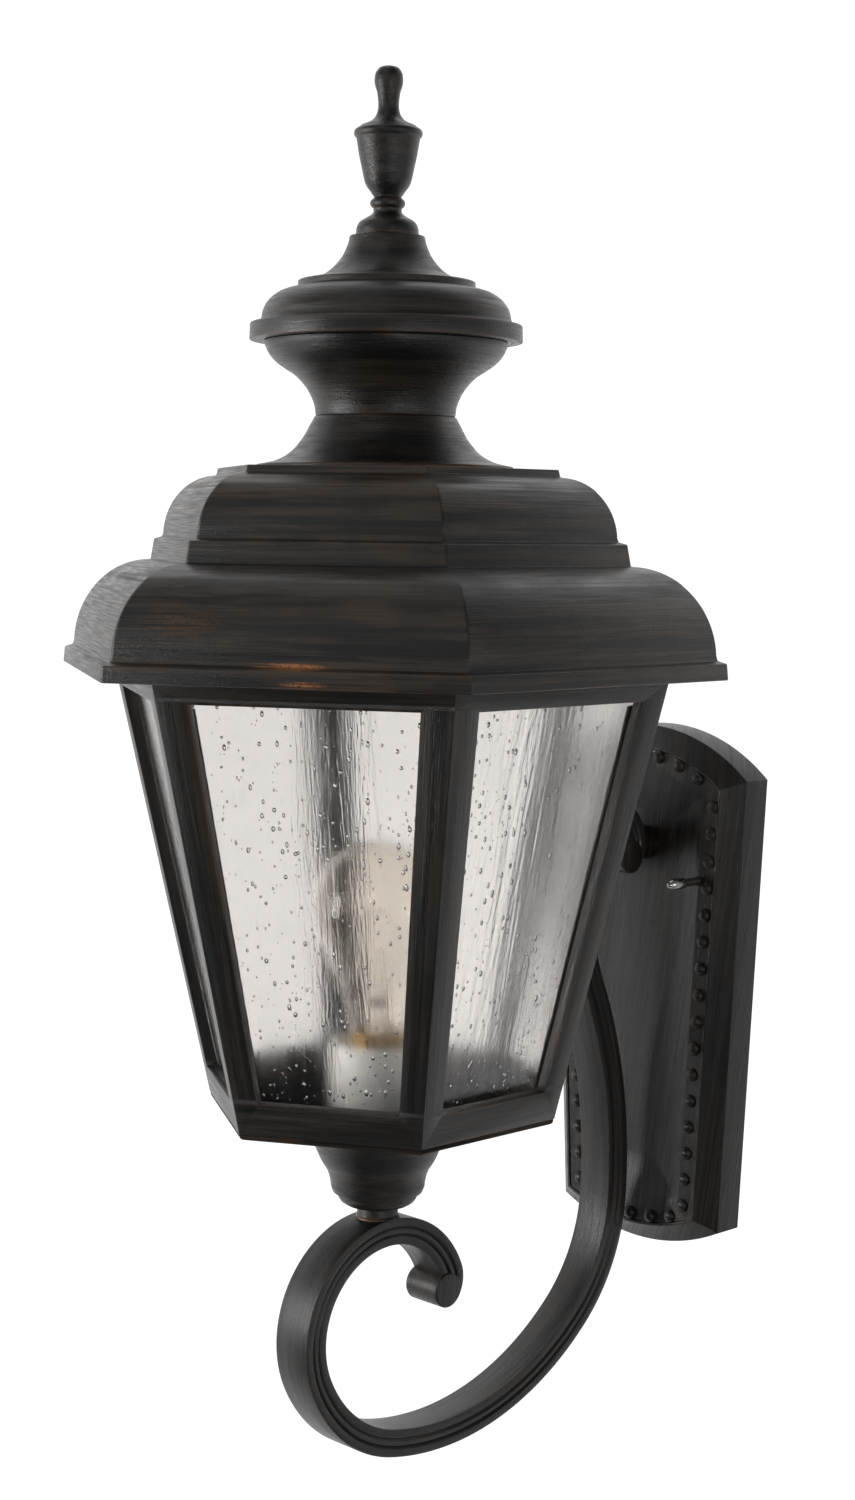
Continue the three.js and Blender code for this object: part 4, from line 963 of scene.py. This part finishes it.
def arm_bar(margin=0.0):
    half = [(x + margin, n + (margin if n > 0 else -margin)) for x, n in ARM_SIDE]
    section = half + [(-x, n) for x, n in half[::-1]]
    section = rounded(section, 0.55, closed=True, steps=2)
    rings = [
        [(x, y + n * math.sin(h), z - n * math.cos(h)) for x, n in section]
        for y, z, h, _ in arm_stations()
    ]
    return skin(rings), section


def unwrap_arm(arm, section):
    """UV map "run": the distance along the scroll and round its section, in metres."""
    stations = arm_stations()
    girth = [0.0]
    for p, q in zip(section, section[1:] + section[:1]):
        girth.append(girth[-1] + math.dist(p, q))
    layer = arm.data.uv_layers.new(name="run")
    count = len(section)
    for polygon in arm.data.polygons:
        corners = [arm.data.loops[i].vertex_index for i in polygon.loop_indices]
        wraps = len(corners) == 4 and {v % count for v in corners} == {0, count - 1}
        for i, v in zip(polygon.loop_indices, corners):
            around = count if wraps and v % count == 0 else v % count
            layer.data[i].uv = (stations[v // count][3] * MM, girth[around] * MM)


def arm_eye(station, inset):
    """Round boss across the end of the scroll."""
    y, z, heading, _ = station
    y, z = y + inset * math.sin(heading), z - inset * math.cos(heading)
    width = ARM_HALF_WIDTH
    outline = rounded([(0, -width), (EYE_R, -width), (EYE_R, width), (0, width)], 0.9, steps=4)
    verts, faces = lathe(outline, 56)
    eye = solid("eye", ([(p[2], y + p[0], z + p[1]) for p in verts], faces))
    layer = eye.data.uv_layers.new(name="run")
    for polygon in eye.data.polygons:
        for i in polygon.loop_indices:
            p = eye.data.vertices[eye.data.loops[i].vertex_index].co
            layer.data[i].uv = (p.z * 0.3, p.x + p.y)
    return eye


def scroll_arm(look):
    shape, section = arm_bar(-0.03)
    arm = solid("scroll_arm_casting", shape)
    unwrap_arm(arm, section)
    stations = arm_stations()
    combine(arm, [arm_eye(stations[0], -EYE_INSET), arm_eye(stations[-1], EYE_INSET)], "UNION")
    bore = drill(NIPPLE_HOLE_R, NIPPLE_FOOT_Z - 0.5, -240, 40)
    bolt_hole = along_minus_y(drill(ARM_BOLT_HOLE_R, 7.5, 37.5), 0, 0, ARM_BOLT_Z)
    combine(arm, [solid("nipple_hole", bore), solid("bolt_hole", bolt_hole, WALL)], "DIFFERENCE")
    settle(arm, look["arm"], "scroll_arm", sharp=28)
    return arm


def neck(look, arm):
    """Short spacer whose foot follows the arm's back."""
    outline = rounded([
        (NIPPLE_HOLE_R, NECK_TOP_Z), (9.2, NECK_TOP_Z), (9.2, -243.2), (9.8, -243.8), (10, -244.6),
        (10, NECK_FOOT_Z), (NIPPLE_HOLE_R, NECK_FOOT_Z),
    ], 0.3, closed=True)
    verts, faces = lathe(outline, 72, True)
    corners = [v.co.copy() for v in arm.data.vertices]
    arm_surface = BVHTree.FromPolygons(corners, [list(p.vertices) for p in arm.data.polygons])
    saddled = []
    for x, y, z in verts:
        if z < -244.7:
            from_above = AXIS + Vector((max(-9, min(9, x)), y, NECK_TOP_Z)) * MM
            hit = arm_surface.ray_cast(from_above, Vector((0, 0, -1)))[0]
            z = (hit.z - AXIS.z) / MM + 0.3 if hit else z
        saddled.append((x, y, z))
    settle(solid("neck_spacer", (saddled, faces)), look["round"], "neck")


# -------- wall plate
def arc_through(half, corner_z, apex_z):
    rise = abs(apex_z - corner_z)
    radius = (half * half + rise * rise) / (2 * rise)
    return radius, apex_z - math.copysign(radius, apex_z - corner_z)


CROWN = arc_through(PLATE_TOP_HALF, PLATE_TOP_CORNER_Z, PLATE_CROWN_Z)
KEEL = arc_through(PLATE_FOOT_HALF, PLATE_FOOT_CORNER_Z, PLATE_KEEL_Z)
SIDE_TAPER = (PLATE_TOP_HALF - PLATE_FOOT_HALF) / (PLATE_TOP_CORNER_Z - PLATE_FOOT_CORNER_Z)


def plate_half(z, inset):
    """Half width of the plate at a height, once its outline is moved inwards."""
    return PLATE_FOOT_HALF + (z - PLATE_FOOT_CORNER_Z) * SIDE_TAPER - inset * math.hypot(1, SIDE_TAPER)


def corner_height(bend, inset, towards):
    """Height where the inset side meets the inset arc, found by bisection."""
    radius, centre_z = bend
    inside = (PLATE_TOP_CORNER_Z + PLATE_FOOT_CORNER_Z) / 2
    outside = centre_z + towards * radius
    for _ in range(40):
        z = (inside + outside) / 2
        reach = math.hypot(plate_half(z, inset), z - centre_z)
        beyond = (z - centre_z) * towards > 0 and reach > radius - inset
        inside, outside = (inside, z) if beyond else (z, outside)
    return inside


def plate_ring(inset, depth, steps=36):
    ring = []
    for bend, towards in ((CROWN, 1), (KEEL, -1)):
        radius, centre_z = bend
        z = corner_height(bend, inset, towards)
        spread = math.atan2(plate_half(z, inset), (z - centre_z) * towards)
        for k in range(steps + 1):
            angle = spread * (1 - 2 * k / steps)
            r = radius - inset
            ring.append((towards * r * math.sin(angle), -depth, centre_z + towards * r * math.cos(angle)))
    return ring


def bead_places():
    places = []
    for side in (-1, 1):
        for k in range(BEADS_PER_SIDE):
            z = BEAD_FIRST_Z - k * BEAD_PITCH
            places.append((side * plate_half(z, BEAD_INSET + k * BEAD_LEAN), z))
    for bend, towards, count in ((CROWN, 1, BEADS_ON_CROWN), (KEEL, -1, BEADS_ON_KEEL)):
        r = bend[0] - BEAD_INSET
        for k in range(count):
            angle = (k - (count - 1) / 2) * BEAD_PITCH / r
            places.append((r * math.sin(angle), bend[1] + towards * r * math.cos(angle)))
    return places


def wall_plate(look):
    """Bevelled plate with a fine ridge, a bed of beads and a dished middle, hollow behind."""
    rim = rounded([
        (0, 0), (0, RIM_DEPTH), (BEVEL * 0.5, RIM_DEPTH + 3), (BEVEL, FACE_DEPTH),
        (BEVEL + 1.1, FACE_DEPTH), (BEVEL + 1.6, BED_DEPTH), (BED_INSET - 0.5, BED_DEPTH),
    ], 0.7)
    cove = [
        (BED_INSET + DISH_RUN * s / 14, BED_DEPTH - DISH_DEPTH * math.sin(s / 14 * math.pi / 2))
        for s in range(1, 15)
    ]
    profile = [(20, CAVITY_DEPTH), (5, CAVITY_DEPTH), (4, 0), *rim, *cove]
    plate = solid("wall_plate_casting", skin([plate_ring(*step) for step in profile]), WALL)
    dome = [(0, -1), (BEAD_R, -1), *arc(0, 0, BEAD_R, BEAD_HEIGHT, 0, 90, 7)]
    verts, faces = [], []
    for x, z in bead_places():
        bead_verts, bead_faces = along_minus_y(lathe(dome, 20), x, BED_DEPTH, z)
        faces += [[i + len(verts) for i in face] for face in bead_faces]
        verts += bead_verts
    pad_foot = CAVITY_DEPTH + 1
    pad = [(0, pad_foot), (PAD_R + 1, pad_foot), (PAD_R, PAD_FACE_DEPTH), (0, PAD_FACE_DEPTH)]
    pad_solid = solid("pad", along_minus_y(lathe(rounded(pad, 0.6), 48), 0, 0, ARM_BOLT_Z), WALL)
    combine(plate, [pad_solid, solid("beads", (verts, faces), WALL)], "UNION")
    holes = [along_minus_y(drill(STUD_HOLE_R, 5, 40), x) for x in (-STUD_X, STUD_X)]
    holes.append(along_minus_y(drill(ARM_BOLT_HOLE_R, 5, 40), 0, 0, ARM_BOLT_Z))
    holes = [solid("hole", hole, WALL) for hole in holes] + [solid("saddle", arm_bar(0.3)[0])]
    combine(plate, holes, "DIFFERENCE")
    settle(plate, look["plate"], "wall_plate", sharp=28)


# -------- stage, light and air
AIR = [  # direction, cosine where the light starts and where it is full, and strength
    ((-0.70, 0.68, -0.20), -0.08, 0.35, 1.12),  # white sweep behind
    ((0.985, 0.17, 0.0), 0.5, 1.0, 0.32),  # right
    ((-0.694, -0.720, 0.0), 0.5, 1.0, 0.14),  # left
    ((0.196, -0.794, 0.574), 0.72, 0.98, 0.55),  # front left, high
    ((0, 0, 1), 0.1, 0.8, 0.09),  # above
    ((0.716, -0.692, 0.09), -1.0, -0.9, 0.05),  # all round, from the dark room in front
]
LAMPS = [  # name, place, width, height and watts
    ("left_box", (-0.86, -1.53, 0.12), 0.35, 0.8, 17),
    ("right_box", (1.5, 0.1, 0.05), 0.2, 0.35, 1.4),
    ("front_box", (1.365, -0.8, -0.1), 0.2, 0.25, 3),
    ("top_box", (-0.3, -0.2, 1.7), 1.0, 1.0, 1.5),
]
FLOOR_Z = -1.5


def area_light(name, place, width, height, power):
    data = bpy.data.lights.new(name, "AREA")
    data.shape = "RECTANGLE"
    data.size, data.size_y = width, height
    data.energy = power
    light = bpy.data.objects.new(name, data)
    light.location = place
    light.rotation_mode = "QUATERNION"
    light.rotation_quaternion = (AXIS - Vector(place)).to_track_quat("-Z", "Y")
    bpy.context.scene.collection.objects.link(light)


def studio_air():
    """The sweep, the room and softer light, as a world that the camera itself sees as white."""
    tree = Tree("studio", "worlds")
    strength = tree.add("LightPath").outputs["Is Camera Ray"]
    for direction, start, full, level in AIR:
        facing = tree.vector("DOT_PRODUCT", tree.here, direction).outputs["Value"]
        strength = tree.math("MAXIMUM", strength, tree.span(facing, start, full, 0.0, level))
    air = tree.add("Background", {"Color": (1, 1, 1, 1), "Strength": strength})
    tree.add("OutputWorld", {"Surface": air})
    bpy.context.scene.world = tree.owner


def studio():
    studio_air()
    for lamp in LAMPS:
        area_light(*lamp)
    floor = solid("floor", drill(850, -1, 0, 96), Vector((0, 0, FLOOR_Z)))
    tree = Tree("pale_floor")
    soft = tree.grain(3, 2)
    seen = tree.add("LightPath").outputs
    floor.data.materials.append(tree.finish(tree.shader({
        "Base Color": tree.blend(soft, (0.56, 0.56, 0.56, 1), (0.62, 0.62, 0.62, 1)),
        "Roughness": 0.9,
        "Specular IOR Level": 0.0,
        "Emission Color": (1, 1, 1, 1),
        "Emission Strength": tree.math("MAXIMUM", seen["Is Camera Ray"], seen["Is Transmission Ray"]),
    })))
    settings = bpy.context.scene.view_settings
    settings.view_transform = "Standard"
    settings.look = "None"


# -------- everything
make_camera()
looks = make_materials()
turned_castings(looks)
roof_casting(looks)
cage(looks)
panes(looks)
socket_and_bulb(looks)
arm_piece = scroll_arm(looks)
neck(looks, arm_piece)
wall_plate(looks)
fasteners(looks)
studio()
